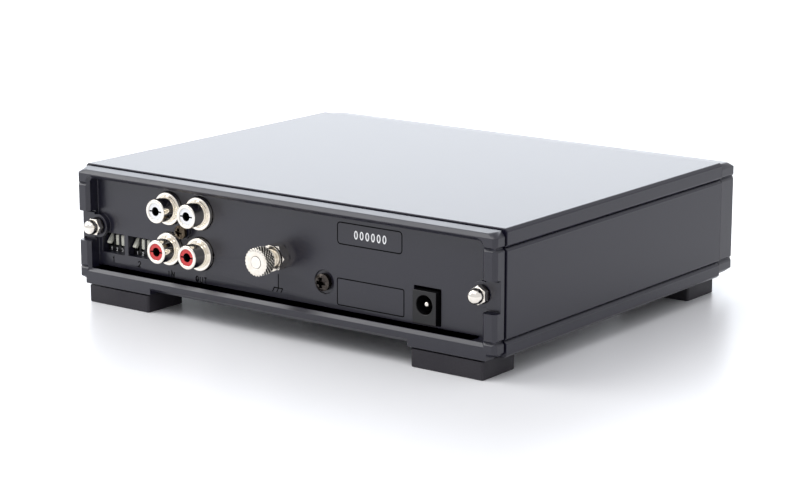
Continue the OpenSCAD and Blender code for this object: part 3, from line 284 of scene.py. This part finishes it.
def grainy(name, base, fleck, grain_mm, rough, bump_mm, metal=0.0, ior=None, mottle=0.05):
    """Surface with a fine grain of grain_mm and a slow mottle, 12 mm across: grain and mottle shade the
    colour from base to fleck, the mottle moves the roughness between its two values, and the grain lifts
    the surface by bump_mm."""
    mottle_mm = 12.0
    material, tree, shader = blank(name)
    spot = add(tree, "TexCoord").outputs["Object"]
    grain = add(tree, "TexNoise", {"Scale": 1 / (grain_mm * MM), "Detail": 3.0, "Roughness": 0.6},
                {"Vector": spot})
    slow = add(tree, "TexNoise", {"Scale": 1 / (mottle_mm * MM), "Detail": 2.0}, {"Vector": spot})
    mixed = add(tree, "Math", {1: mottle}, {0: slow.outputs["Fac"]}, operation="MULTIPLY")
    shade = add(tree, "Math", links={0: grain.outputs["Fac"], 1: mixed.outputs[0]}, operation="ADD")
    tint = add(tree, "ValToRGB", links={"Fac": shade.outputs[0]})
    tint.color_ramp.elements[0].position = 0.35
    tint.color_ramp.elements[0].color = colour(base)
    tint.color_ramp.elements[1].position = 0.75
    tint.color_ramp.elements[1].color = colour(fleck)
    gloss = add(tree, "MapRange", {"From Min": 0.3, "From Max": 0.7, "To Min": rough[0],
                                   "To Max": rough[1]}, {"Value": slow.outputs["Fac"]})
    relief = add(tree, "Bump", {"Strength": 1.0, "Distance": bump_mm * MM},
                 {"Height": grain.outputs["Fac"]})
    tree.links.new(tint.outputs["Color"], shader.inputs["Base Color"])
    tree.links.new(gloss.outputs["Result"], shader.inputs["Roughness"])
    tree.links.new(relief.outputs["Normal"], shader.inputs["Normal"])
    shader.inputs["Metallic"].default_value = metal
    if ior is not None:
        shader.inputs["IOR"].default_value = ior
    return material


def lathed_metal(name, base, shade, rough, centre, ring_mm, bump_mm):
    """Plated metal turned on a lathe: rings ring_mm apart round the line along Y through centre, a little
    uneven, move the roughness between its two values and lift the surface by bump_mm. A cloud of
    cloud_mm moves the colour from shade to base."""
    cloud_mm = 2.5
    wave_period = 0.314     # of Blender's rings, at a scale of 1
    material, tree, shader = blank(name)
    spot = add(tree, "TexCoord").outputs["Object"]
    centred = add(tree, "Mapping", {"Location": (-centre[0] * MM, 0, -centre[1] * MM)}, {"Vector": spot})
    rings = add(tree, "TexWave", {"Scale": wave_period / (ring_mm * MM), "Distortion": 0.6,
                                  "Detail": 2.0, "Detail Scale": 3.0},
                {"Vector": centred.outputs["Vector"]}, wave_type="RINGS", rings_direction="Y")
    cloud = add(tree, "TexNoise", {"Scale": 1 / (cloud_mm * MM), "Detail": 3.0}, {"Vector": spot})
    tint = add(tree, "ValToRGB", links={"Fac": cloud.outputs["Fac"]})
    tint.color_ramp.elements[0].position = 0.35
    tint.color_ramp.elements[0].color = colour(shade)
    tint.color_ramp.elements[1].position = 0.65
    tint.color_ramp.elements[1].color = colour(base)
    gloss = add(tree, "MapRange", {"To Min": rough[0], "To Max": rough[1]}, {"Value": rings.outputs["Fac"]})
    relief = add(tree, "Bump", {"Strength": 1.0, "Distance": bump_mm * MM},
                 {"Height": rings.outputs["Fac"]})
    tree.links.new(tint.outputs["Color"], shader.inputs["Base Color"])
    tree.links.new(gloss.outputs["Result"], shader.inputs["Roughness"])
    tree.links.new(relief.outputs["Normal"], shader.inputs["Normal"])
    shader.inputs["Metallic"].default_value = 1.0
    return material


# Aluminium, powder coated satin black: an even film that mirrors a light softly, with a faint orange peel.
powder_coat = grainy("powder_coated_aluminium", "#161523", "#1b1a28", 0.5, (0.264, 0.268), 0.0004)
# ABS moulded in a spark-eroded tool: a fine even grain that spreads every highlight.
moulded_abs = grainy("grained_black_abs", "#12111f", "#181726", 0.22, (0.29, 0.33), 0.002, ior=1.62)
# Hard rubber feet: duller than the case, with a soft bloom in patches.
foot_rubber = grainy("hard_rubber", "#19161c", "#221f27", 0.4, (0.55, 0.68), 0.004, ior=1.5, mottle=0.2)
# Glass-filled nylon and PBT of sockets and switches: dense black, slightly shiny.
black_nylon = grainy("black_glass_filled_nylon", "#08080a", "#101012", 0.15, (0.30, 0.42), 0.002)
# Polyethylene, moulded, natural white: smooth and milky with a soft shine.
white_insulator = grainy("white_polyethylene", "#e9eaec", "#f6f6f6", 0.6, (0.28, 0.38), 0.001)
# The same, dyed red right through: a strong red with the same soft shine.
red_insulator = grainy("red_polyethylene", "#c62f33", "#d8423f", 0.6, (0.28, 0.38), 0.001)
# Acetal keys, unbleached: waxy off-white.
ivory_acetal = grainy("ivory_acetal", "#dcdccb", "#edece0", 0.5, (0.32, 0.45), 0.002)
# Nickel on brass, as plated: a warm, bright mirror.
nickel = grainy("nickel_plated_brass", "#f3ede2", "#faf6ee", 2.0, (0.05, 0.08), 0.0, metal=1.0)
# The same nickel, turned on a lathe: fine rings spread each highlight into a fan.
earth_nickel = lathed_metal("turned_nickel", "#f7f2e8", "#ece5d8", (0.08, 0.15), (EARTH_X, EARTH_Z),
                            0.18, 0.0001)
# Nickel in the grooves of the knurl, painted nearly black: painted shade and painted dark reflection for
# grooves that see little but their own walls.
knurl_groove_shade = grainy("nickel_with_painted_groove_shade", "#12100e", "#1e1b17", 0.5, (0.35, 0.5), 0.0, metal=1.0)
# Steel, zinc plated and passivated clear: a pale grey mirror, half blurred.
bright_steel = grainy("zinc_plated_steel", "#9fa3a8", "#c3c6ca", 0.5, (0.22, 0.35), 0.001, metal=1.0)
# Steel oxidised black: a dark, dull sheen.
black_steel = grainy("black_oxide_steel", "#161517", "#29272a", 0.5, (0.28, 0.42), 0.001, metal=1.0)
# The same oxide worn thin on a screw that has been driven: a darker, warmer mirror.
worn_steel = grainy("worn_black_oxide_steel", "#3a3633", "#5c5550", 0.6, (0.22, 0.3), 0.001, metal=1.0)
# Steel with a brown passivate: bronze patches, half blurred.
bronze_steel = grainy("bronzed_steel", "#3b3229", "#7d705f", 0.5, (0.25, 0.4), 0.001, metal=1.0)
# Tin spring contact painted nearly black as shade, so that the bore looks deep.
contact_painted_shade = grainy("tin_contact_painted_dark", "#161514", "#242220", 0.5, (0.4, 0.5), 0.001, metal=1.0)
# Brass, tinned: pale, a little yellow, with a dull shine.
tinned_brass = grainy("tinned_brass", "#b9b3a2", "#d6d2c6", 0.7, (0.25, 0.4), 0.001, metal=1.0)
# Glass laminate under green solder mask: dark green, faintly speckled, with a clear shine.
board_laminate = grainy("green_board_laminate", "#0d3a1e", "#15502b", 0.9, (0.25, 0.35), 0.002)
# Aluminium sheet as rolled, unpainted: light grey with a broad soft shine.
aluminium_sheet = grainy("rolled_aluminium_sheet", "#a9abad", "#c9cacc", 1.2, (0.3, 0.45), 0.001, metal=1.0)
# Epoxy moulded round chips and regulators: matt black.
epoxy_black = grainy("moulded_epoxy", "#141415", "#1f1f20", 0.12, (0.5, 0.65), 0.003)
# ABS, polished, of the push button: black with clear highlights.
button_plastic = grainy("polished_black_abs", "#121214", "#19191b", 0.5, (0.14, 0.2), 0.0006)
# Acrylic, tinted and polished, of the pilot lens: deep red with sharp highlights.
red_lens = grainy("tinted_red_acrylic", "#7a0f12", "#93181a", 0.7, (0.08, 0.12), 0.0004, ior=1.49)
# PVC sleeve shrunk round an electrolytic capacitor: dark blue and smooth.
capacitor_sleeve = grainy("shrunk_pvc_sleeve", "#141b2e", "#1d2740", 0.8, (0.3, 0.4), 0.002)
# Epoxy that film capacitors are dipped in: brick red and glossy.
film_red = grainy("dipped_film_capacitor", "#8e2a1d", "#a83a29", 0.7, (0.2, 0.3), 0.002)
# Lacquer over a resistor's body: tan and satin.
resistor_tan = grainy("lacquered_resistor", "#b39a72", "#c9b38c", 0.4, (0.35, 0.5), 0.002)
# Painted shade in the engraved marks, matt black, so that they read darker than the panel round them.
painted_mark_shade = grainy("painted_shade_in_marks", "#040405", "#08080a", 0.3, (0.75, 0.85), 0.001, ior=1.3)
# Ink screen-printed white, of the number and of the key numbers: flat and dense.
white_print = grainy("white_print", "#f2f2f2", "#ffffff", 0.3, (0.5, 0.6), 0.001)

FINISH = {
    "powder_coat": powder_coat, "textured_abs": moulded_abs, "foot_rubber": foot_rubber,
    "steel": bright_steel, "black_steel": black_steel, "nickel_plate": nickel,
    "bronzed_steel": bronze_steel, "tinned_brass": tinned_brass, "black_nylon": black_nylon,
    "white_insulator": white_insulator, "red_insulator": red_insulator, "ivory_key": ivory_acetal,
    "board_laminate": board_laminate, "aluminium_sheet": aluminium_sheet, "epoxy_black": epoxy_black,
    "button_plastic": button_plastic, "red_lens": red_lens, "capacitor_sleeve": capacitor_sleeve,
    "film_red": film_red, "resistor_tan": resistor_tan,
}


def paint(piece, material):
    """Gives a piece one material."""
    piece.data.materials.clear()
    piece.data.materials.append(material)


SLOT_OF = {entry["node"]: entry["material_slot"] for entry in frame["record"]["subparts"]}
BODY_OF = {node: body for body, nodes in frame["record"]["behaviour"]["bodies"].items() for node in nodes}


def dress_solids():
    """Every solid takes the finish of its slot."""
    for node, slot_name in SLOT_OF.items():
        for holder in frame["nodes"][node].material_slots:
            holder.material = FINISH[slot_name]


def place(piece, node, material=None):
    """Lets a new piece stand in for a solid: it rides with the solid's body, hides the solid and, without a
    material of its own, takes the finish of the solid's slot."""
    paint(piece, material or FINISH[SLOT_OF[node]])
    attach(piece, BODY_OF.get(node, "case"))
    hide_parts(node)
    return piece


# ---- turned and screwed pieces -----------------------------------------------

def round_radius(node):
    """Radius of a row of round pieces along Y, from their height."""
    low, high = span(node)
    return (high[2] - low[2]) / 2


def corner_up(node):
    """Turn of a hexagon whose corners point up or sideways, as its box says."""
    low, high = span(node)
    return 0.0 if high[2] - low[2] > high[0] - low[0] else math.pi / 6


def socket_shell(node):
    """Turned shell of a phono socket: a tube with a rolled front rim and a polished flange, whose flat
    outer ring is parted by a fine groove from a cone that falls towards the tube."""
    low, high = span(node)
    flange_r = (high[0] - low[0]) / 2
    play, rim_chamfer = 0.02, 0.1
    bore_r = round_radius("rca_insulators_white") + play
    barrel_r, ring_r = 4.15, 4.72
    cone_fall, groove_w, groove_depth = 0.3, 0.12, 0.25
    flange_y = PANEL_Y + 1.5
    behind_y = PANEL_Y - 3.0
    outline = rounded([
        (bore_r, low[1], 0), (bore_r, high[1] - rim_chamfer, 0), (bore_r + rim_chamfer, high[1], 0.08),
        (barrel_r, high[1], 0.45), (barrel_r, flange_y - cone_fall, 0.05),
        (ring_r - groove_w, flange_y - groove_w, 0.03),
        (ring_r - groove_w / 2, flange_y - groove_depth, 0.02),
        (ring_r, flange_y, 0.04), (flange_r, flange_y, 0.2), (flange_r, behind_y, 0),
        (barrel_r, behind_y, 0), (barrel_r, low[1], 0), (bore_r, low[1], 0)])
    place(surface(node + "_turned", [turned(outline, middle(node), 128)]), node)


def slotted_insulators(node, shells):
    """Insulators of a pair of sockets. The front is a polar grid, y = y1 - depth where |z - cz| < slit / 2
    and r < slit_r, with walls that lean over wall mm. Behind a lip the bore widens round the contact.
    The walls and floors of the slits and the bore are painted black as shade."""
    low, high = span(node)
    r, lip_r, bore_r = round_radius("rca_insulators_white"), 1.58, 1.82
    slit, slit_r, depth, wall = 0.42, 2.66, 0.9, 0.05
    edge, rim, lip = 0.12, 0.1, 0.1
    painted_shade_from = 0.04        # depth at which the painted shade of a slit begins
    columns, rows = 256, 36
    a = np.linspace(0, 2 * math.pi, columns, endpoint=False)
    radius = np.linspace(lip_r, r - edge, rows)[:, None]
    inside = np.minimum(slit / 2 - np.abs(radius * np.sin(a)), slit_r - radius)
    y = high[1] - np.clip(inside / wall + 0.5, 0, 1) * depth
    sheets = []
    for shell in shells:
        centre = middle(shell)
        front = np.stack([centre[0] + radius * np.cos(a), y, centre[1] + radius * np.sin(a)], axis=-1)
        lip_y = high[1] - depth - lip
        side = rounded([(r - edge, high[1], 0), (r, high[1], rim), (r, low[1], 0), (bore_r, low[1], 0),
                        (bore_r, lip_y, 0), (lip_r, lip_y, 0)])
        sheets.append(np.concatenate([front, turned(side, centre, columns), front[:1]]))
    piece = place(surface(node + "_slotted", sheets), node)
    # Black nylon on the slits' walls and floors and on the bore, as painted shade.
    piece.data.materials.append(black_nylon)
    centres = [middle(shell) for shell in shells]
    for face in piece.data.polygons:
        x, y, z = face.center / MM
        off_axis = min(math.hypot(x - cx, z - cz) for cx, cz in centres)
        face.material_index = int(y < high[1] - painted_shade_from and off_axis < r - rim)


def dome_nut_pair():
    """Dome nuts on the ends of the tie rods: a chamfered hexagon that carries a ball. The nut at -x stands
    on a corner of its hexagon, the other one on a flat."""
    low, high = span("dome_nuts")
    across, ball_r, hex_h, chamfer, fillet = 5.5, 2.6, 2.0, 0.2, 0.1
    corner = across / 2 / math.cos(math.pi / 6)
    front = low[1] + hex_h
    ball_y = high[1] - ball_r
    rise = np.linspace(0, math.pi / 2, 14)
    dome = np.stack([ball_r * np.cos(rise), ball_y + ball_r * np.sin(rise)], axis=-1)
    hexagon = refined(np.array([(0, low[1]), (corner - chamfer, low[1]), (corner, low[1] + chamfer * 0.6),
                                (corner, front - chamfer), (corner - 2 * chamfer, front),
                                (ball_r + fillet, front), (ball_r, front + fillet)]), HEX_STEP)
    rod_x = span("tie_rods")[1][0] - round_radius("tie_rods")
    sheets = []
    for side, turn in ((-1, 0.0), (1, math.pi / 6)):
        centre = (side * rod_x, middle("tie_rods")[1])
        sheets.append(np.concatenate([turned(hexagon, centre, 96, across, turn),
                                      turned(dome, centre, 96)]))
    place(surface("dome_nuts_turned", sheets), "dome_nuts")


def lock_nut():
    """Fixed hexagon nut of the earth terminal, chamfered on both faces."""
    low, high = span("earth_lock_nut")
    across = min(high[0] - low[0], high[2] - low[2])
    corner = across / 2 / math.cos(math.pi / 6)
    bore, chamfer, lead_in = STUD_R, 0.5, 0.3
    slope = chamfer * 0.6
    outline = refined(np.array([(bore, low[1]), (corner - chamfer, low[1]), (corner, low[1] + slope),
                                (corner, high[1] - slope), (corner - chamfer, high[1]),
                                (bore + lead_in, high[1]), (bore, high[1] - lead_in),
                                (bore, low[1])]), HEX_STEP)
    sheet = turned(outline, (EARTH_X, EARTH_Z), 144, across, corner_up("earth_lock_nut"))
    place(surface("earth_lock_nut_milled", [sheet]), "earth_lock_nut", earth_nickel)


def clamp_washer():
    """Flat washer that clamps the earth lead, with rounded rims."""
    low, high = span("earth_clamp_washer")
    r = round_radius("earth_clamp_washer")
    play, rim = 0.05, 0.12
    bore = STUD_R + play
    outline = rounded([(bore, low[1], 0), (r, low[1], rim), (r, high[1], rim), (bore, high[1], 0),
                       (bore, low[1], 0)])
    sheet = turned(outline, (EARTH_X, EARTH_Z), 128)
    place(surface("earth_clamp_washer_turned", [sheet]), "earth_clamp_washer", earth_nickel)


def thumb_nut():
    """Knurled thumb nut: bore, flat face, crossed knurl with painted shade in its grooves, and a smooth
    neck behind it.
    """
    low, high = span("earth_thumb_nut")
    r = round_radius("earth_thumb_nut")
    play, edge, lead_in, collar_r, collar_l = 0.12, 0.5, 0.1, 3.0, 2.9
    bore, columns = STUD_R + play, 480
    centre = (EARTH_X, EARTH_Z)
    shoulder = low[1] + collar_l
    back = rounded([(bore, low[1], 0), (collar_r, low[1], 0.2), (collar_r, shoulder, 0.15),
                    (r - edge, shoulder, 0)])
    face = rounded([(r - edge, high[1], 0), (bore + lead_in, high[1], 0.04),
                    (bore, high[1] - lead_in, 0.04), (bore, low[1], 0)])
    sheet = np.concatenate([turned(back, centre, columns),
                            knurled(centre, r, shoulder, high[1], edge, columns=columns),
                            turned(face, centre, columns)])
    nut = place(surface("earth_thumb_nut_knurled", [sheet]), "earth_thumb_nut", earth_nickel)
    # The knurl's grooves get painted shade: a near-black nickel on every face deeper than shade_depth.
    nut.data.materials.append(knurl_groove_shade)
    shade_depth = 0.12     # depth below which the knurl's faces take the painted groove shade
    for face in nut.data.polygons:
        x, y, z = face.center / MM
        in_knurl = shoulder + edge / 2 < y < high[1] - edge / 2
        face.material_index = int(in_knurl and math.hypot(x - EARTH_X, z - EARTH_Z) < r - shade_depth)


def recessed_screw(node, head_h, crown, shank_r, proud=0.0, slim=0.0, finish=None):
    """Cross-recess screw in the place of a solid. Its head ends proud mm past the solid's outer face and
    is slim mm smaller in radius. The cross is 0.56 of the head's radius long in each arm and 0.36 of it
    wide, and goes 0.7 of the head deep."""
    low, high = span(node)
    top = high[1] + proud
    base = top - head_h
    r = round_radius(node) - slim
    head = screw_head(middle(node), r, base, top, crown, arm=0.56 * r, slot=0.36 * r, depth=0.7 * head_h)
    shank = rounded([(0, base, 0), (shank_r, base, 0), (shank_r, low[1], 0.2), (0, low[1], 0)])
    place(surface(node + "_turned", [head, turned(shank, middle(node), 32)]), node, finish)


def power_button():
    """Round push button with a shallow dished face and a rounded rim, on a thin stem."""
    low, high = span("power_button")
    r = round_radius("power_button")
    dish, rim, cap_l, stem_r = 0.3, 0.5, 7, 2.0
    collar = low[1] + cap_l
    outline = rounded([(0, low[1] + dish, 0), (r * 0.5, low[1] + dish * 0.8, 0.8), (r - rim, low[1], 0.25),
                       (r, low[1] + 0.35, 0.3), (r, collar, 0), (stem_r, collar, 0), (stem_r, high[1], 0),
                       (0, high[1], 0)])
    place(surface("power_button_dished", [turned(outline, middle("power_button"), 96)]), "power_button")


# ---- marks on the socket panel -----------------------------------------------

def ribbon(path, line, y0, y1, closed=False):
    """Bar of rectangular section along a path of (x, z) points. At each point the section reaches
    line / 2 to both sides along the path's normal, longer by 1 / cos(half the bend) where the path turns,
    and runs from y0 to y1. Both ends of an open bar are closed by a row of points in their middle."""
    path = np.array(path, float)
    if closed:
        path = np.concatenate([path[-1:], path, path[:1]])
    steps = np.diff(path, axis=0)
    steps /= np.linalg.norm(steps, axis=1)[:, None]
    sideways = np.stack([-steps[:, 1], steps[:, 0]], axis=-1)
    before = sideways if closed else np.concatenate([sideways[:1], sideways])
    after = sideways[1:] if closed else np.concatenate([sideways, sideways[-1:]])
    before = before[:len(after)]
    mitre = (before + after) / (1 + np.sum(before * after, axis=1))[:, None]
    points = path[1:-1] if closed else path
    left, right = points + mitre * line / 2, points - mitre * line / 2
    flat = np.stack([left, left, right, right], axis=1)
    y = np.broadcast_to([y0, y1, y1, y0], flat.shape[:2])
    sheet = np.stack([flat[..., 0], y, flat[..., 1]], axis=-1)
    if closed:
        return np.concatenate([sheet, sheet[:1]])
    ends = [np.repeat(sheet[i].mean(axis=0)[None, None], 4, axis=1) for i in (0, -1)]
    return np.concatenate([ends[0], sheet, ends[1]])


def arc(x, z, rx, rz, first, last, steps=9):
    """Points of an ellipse: (x + rx cos a, z + rz sin a), a from first to last in degrees."""
    a = np.radians(np.linspace(first, last, steps))
    return np.stack([x + rx * np.cos(a), z + rz * np.sin(a)], axis=-1).tolist()


def glyph(sign):
    """Strokes of one plain sign, one high and 0.6 wide, as (path, closed) pairs."""
    ring = (arc(0.3, 0.5, 0.3, 0.5, 0, 345, 24), True)
    return {
        "0": [ring],
        "O": [ring],
        "1": [([(0.12, 0.74), (0.34, 1), (0.34, 0)], False)],
        "2": [(arc(0.3, 0.7, 0.28, 0.3, 170, -20) + [(0.02, 0), (0.6, 0)], False)],
        "3": [(arc(0.28, 0.76, 0.25, 0.24, 160, -80) + arc(0.28, 0.27, 0.29, 0.27, 80, -160), False)],
        "4": [([(0.62, 0.28), (0, 0.28), (0.44, 1), (0.44, 0)], False)],
        "I": [([(0.3, 0), (0.3, 1)], False)],
        "N": [([(0.02, 0), (0.02, 1), (0.58, 0), (0.58, 1)], False)],
        "U": [([(0.02, 1)] + arc(0.3, 0.3, 0.28, 0.3, 180, 360) + [(0.58, 1)], False)],
        "T": [([(0, 0.96), (0.6, 0.96)], False), ([(0.3, 0.9), (0.3, 0)], False)],
    }[sign]


def lettering(text, x, z, height, line, y0, y1, spacing=0.95, narrow=1.0):
    """Bars of a row of signs with its middle at (x, z), read from +Y: the row runs towards -x. Each sign
    is narrow times as wide as usual."""
    sheets = []
    sign_w = 0.6
    width = spacing * (len(text) - 1) + sign_w
    for i, sign in enumerate(text):
        for path, closed in glyph(sign):
            flat = np.array(path) + (i * spacing - width / 2, -0.5)
            strokes = np.array([x, z]) + flat * (-height * narrow, height)
            sheets.append(ribbon(strokes, line, y0, y1, closed))
    return sheets


def plate_outline(x, z, half_w, half_h, corner):
    """Rounded rectangle: a quarter circle of radius corner round each corner's own middle."""
    across, up = half_w - corner, half_h - corner
    outline = []
    for dx, dz, first in ((across, up, 0), (-across, up, 90), (-across, -up, 180), (across, -up, 270)):
        outline += arc(x + dx, z + dz, corner, corner, first, first + 90, 7)
    return outline


def engrave(piece, sheets):
    """Cuts closed bars out of a piece, one at a time."""
    cutters = [surface(f"cutter_{i}", [sheet]) for i, sheet in enumerate(sheets)]
    for cutter in cutters:
        cut = piece.modifiers.new("engraving", "BOOLEAN")
        cut.operation = "DIFFERENCE"
        cut.solver = "EXACT"
        cut.object = cutter
    bake_modifiers(piece)
    for cutter in cutters:
        bpy.data.objects.remove(cutter)


def fill_marks(piece):
    """Paints shade, matt black, onto the floors and walls of the engraved marks: the faces that start below
    the panel's face and end at the engraving's depth."""
    piece.data.materials.append(painted_mark_shade)
    slack = 0.02
    places = np.empty(3 * len(piece.data.vertices))
    piece.data.vertices.foreach_get("co", places)
    below = PANEL_Y - places[1::3] / MM
    for face in piece.data.polygons:
        deepest = below[list(face.vertices)].max()
        in_mark = below[face.vertices[0]] > -slack / 2
        face.material_index = int(abs(deepest - MARK_DEPTH) < slack and in_mark)


def earth_sign():
    """Strokes of the earth sign as paths of (x, z) points: a stem from under the terminal, a bar across
    its foot and three slanted legs."""
    stem_x, stem_top, foot_z = EARTH_X + 0.6, 21.0, 16.2
    spread, leg_slant, leg_h = 1.8, 0.8, 1.5
    legs = [[(stem_x + shift, foot_z), (stem_x + shift + leg_slant, foot_z - leg_h)]
            for shift in (-spread, 0.0, spread)]
    bar_end = spread + MARK_LINE / 2
    return [[(stem_x, stem_top), (stem_x, foot_z)],
            [(stem_x + bar_end, foot_z), (stem_x - bar_end, foot_z)], *legs]


def panel_marks():
    """Bars of the engraved marks: frames of the two bare plates, earth sign, plain numbers of the switch
    blocks and channels, and names of the socket columns."""
    y0, y1 = PANEL_Y - MARK_DEPTH, PANEL_Y + 0.3
    number_plate = plate_outline(-36.6, 38.6, half_w=13.1, half_h=3.6, corner=1.2)
    lower_plate = plate_outline(-36.9, 18.9, half_w=13.6, half_h=4.5, corner=0.6)
    bars = [ribbon(outline, MARK_LINE, y0, y1, closed=True) for outline in (number_plate, lower_plate)]
    bars += [ribbon(stroke, MARK_LINE, y0, y1) for stroke in earth_sign()]
    for text, x, z, height in (("1", 77.15, 15.4, 1.9), ("2", 64.85, 15.4, 1.9),
                               ("1", 30.6, 36.6, 1.9), ("2", 30.6, 23.1, 1.9),
                               ("IN", 50.1, 14.0, 2.0), ("OUT", 36.1, 14.0, 2.0)):
        bars += lettering(text, x, z, height, MARK_LINE, y0, y1)
    return bars


def floor_channel():
    """Bar that sinks the recess's floor by depth mm, from behind its chamfer to the back of the slot under
    the panel, so that the panel stands in a dark channel. It ends short of the recess's corner at -x."""
    floor_z, depth, over = 12.2, 1.2, 0.4
    left_x, right_x = 83.9, -79.6
    slot_depth, chamfer_width = 1.75, 1.4
    middle_z, height = floor_z + (over - depth) / 2, depth + over
    return ribbon([(left_x, middle_z), (right_x, middle_z)], height, PANEL_Y - slot_depth,
                  RIM_Y - chamfer_width)


def printed(name, sheets):
    """Thin white print on a face that looks along +Y."""
    print_piece = surface(name, sheets)
    paint(print_piece, white_print)
    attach(print_piece, "case")


def printed_numbers():
    """White print: the plain number on the number plate and the key numbers on the switch blocks."""
    sunk, plate_proud, key_proud = 0.01, 0.03, 0.02
    printed("number_print", lettering("000000", x=-36.9, z=38.7, height=2.45, line=0.42,
                                      y0=PANEL_Y - sunk, y1=PANEL_Y + plate_proud,
                                      spacing=1.21, narrow=0.78))
    for side in ("left", "right"):
        block_y = span(f"dip_block_{side}")[1][1]
        digits = []
        for n in range(1, 5):
            key_x = middle(f"dip_key_{side}_{n}")[0]
            digits += lettering(str(n), key_x, z=18.3, height=1.0, line=0.2, y0=block_y - sunk,
                                y1=block_y + key_proud)
        printed(f"key_numbers_{side}", digits)


# ---- stage, lights and camera ------------------------------------------------

def floor():
    """Table top that the feet stand on, pale lacquer: it mirrors the case softly."""
    half = 4.0
    mesh = bpy.data.meshes.new("floor")
    mesh.from_pydata([(-half, -half, 0), (half, -half, 0), (half, half, 0), (-half, half, 0)], [],
                     [(0, 1, 2, 3)])
    table = to_object("floor", mesh)
    paint(table, grainy("pale_lacquer", "#f6f6f7", "#f6f6f7", 1.5, (0.34, 0.36), 0.0))


def soft_light(name, place_m, aim_m, width, height, radiance, tint="#ffffff"):
    """Rectangular soft light at place_m that points at aim_m. Its power is radiance * pi * area."""
    light = bpy.data.lights.new(name, "AREA")
    light.shape = "RECTANGLE"
    light.size = width
    light.size_y = height
    light.energy = radiance * math.pi * width * height
    light.color = colour(tint)[:3]
    lamp = bpy.data.objects.new(name, light)
    lamp.location = place_m
    lamp.rotation_mode = "QUATERNION"
    lamp.rotation_quaternion = (Vector(aim_m) - Vector(place_m)).to_track_quat("-Z", "Y")
    lamp.visible_camera = False
    bpy.context.scene.collection.objects.link(lamp)


def lights():
    """White surroundings, a broad light behind the case that its top mirrors, a brighter one above it for
    the slope of the rim, one from the left, one overhead and a weak one over the camera that lifts the
    shadow on the table."""
    world = bpy.data.worlds.new("white_studio")
    bpy.context.scene.world = world
    world.use_nodes = True
    surround = world.node_tree.nodes["Background"]
    surround.inputs["Color"].default_value = colour("#fafbff")
    surround.inputs["Strength"].default_value = 0.83
    rear_corner, daylight = (0.13, 0.10, 0.04), "#f2f8ff"
    soft_light("back_light", (0.93, -0.95, 0.37), rear_corner, 1.17, 0.75, 1.82, daylight)
    soft_light("upper_back_light", (0.93, -0.95, 1.0), rear_corner, 1.17, 0.6, 2.9, daylight)
    soft_light("left_light", (0.75, 0.42, 0.55), (0, 0, 0.03), 0.5, 0.5, 2.0)
    soft_light("overhead_light", (0.72, 0.50, 1.15), (0, 0.05, 0.03), 0.9, 0.9, 2.0)
    soft_light("camera_side_light", (-0.3, 0.9, 1.6), (0, 0.2, 0), 0.9, 0.9, 1.7)


def camera():
    """Camera behind the object's right, a little above it."""
    data = bpy.data.cameras.new("camera")
    data.sensor_fit = "HORIZONTAL"
    data.sensor_width = 36.0
    data.lens = 106.77
    data.clip_start = 0.01
    data.clip_end = 50.0
    eye = bpy.data.objects.new("camera", data)
    eye.location = (-0.4922, 0.6580, 0.2067)
    eye.rotation_mode = "QUATERNION"
    eye.rotation_quaternion = Vector((0.5854, -0.7793, -0.2238)).to_track_quat("-Z", "Y")
    bpy.context.scene.collection.objects.link(eye)
    bpy.context.scene.camera = eye
    bpy.context.scene.view_settings.view_transform = "Standard"


# ---- assembly ----------------------------------------------------------------

def rear_share(at):
    """Share of the rear moulding's widest rounding: all of it along the top of the rim, hardly any on the
    narrow land over the recess's mouth, little on the other edges."""
    straight_x, rim_depth, crest_z = 86, 2, 46.6
    land_low, land_high, flush = 45.5, 46.4, 0.05
    if abs(at.x) < straight_x and at.y > RIM_Y - rim_depth and at.z > crest_z:
        return 1.0
    if at.y > RIM_Y - flush and land_low < at.z < land_high:
        return 0.2
    return 0.4


def finished(node, width, inner):
    """Solid with its edges rounded width mm wide, all but those of the faces that look along inner."""
    piece = copy_of(node, inner)
    round_edges(piece, width)
    place(piece, node)


def finished_rear_moulding():
    """Rear moulding with rounded edges, the panel's marks with painted shade in them, and the channel in
    the recess's floor.
    """
    piece = copy_of("rear_moulding", FORE, share=rear_share)
    engrave(piece, panel_marks() + [floor_channel()])
    round_edges(piece, 0.3)
    place(piece, "rear_moulding")
    # The engraved marks take painted shade.
    fill_marks(piece)


def finished_case():
    """Case pieces with the small radii that forming and moulding leave on their edges."""
    finished("top_cover", 0.25, DOWN)
    finished("bottom_cover", 0.1, UP)
    for side in ("left", "right"):
        finished(f"side_panel_{side}", 0.2, Vector())
    finished("front_moulding", 0.15, AFT)
    finished_rear_moulding()
    for corner in ("rear_left", "rear_right", "front_left", "front_right"):
        finished(f"foot_{corner}", 0.4, UP)
    finished("dc_jack_body", 0.18, FORE)
    finished("pilot_lens", 0.3, AFT)


dress_solids()
camera()
floor()
lights()
finished_case()
for side in ("left", "right"):
    socket_shell(f"rca_shell_input_{side}")
    socket_shell(f"rca_shell_output_{side}")
slotted_insulators("rca_insulators_white", ("rca_shell_input_left", "rca_shell_output_left"))
slotted_insulators("rca_insulators_red", ("rca_shell_input_right", "rca_shell_output_right"))
# The contacts take painted shade, so that the sockets' bores look deep.
paint(frame["nodes"]["rca_contacts"], contact_painted_shade)
dome_nut_pair()
lock_nut()
clamp_washer()
thumb_nut()
recessed_screw("panel_screw", head_h=2.7, crown=1.0, shank_r=1.5, proud=0.9, slim=0.45, finish=worn_steel)
recessed_screw("rca_block_screw", head_h=1.9, crown=0.9, shank_r=1.48, proud=0.8)
power_button()
printed_numbers()

bpy.context.view_layer.update()
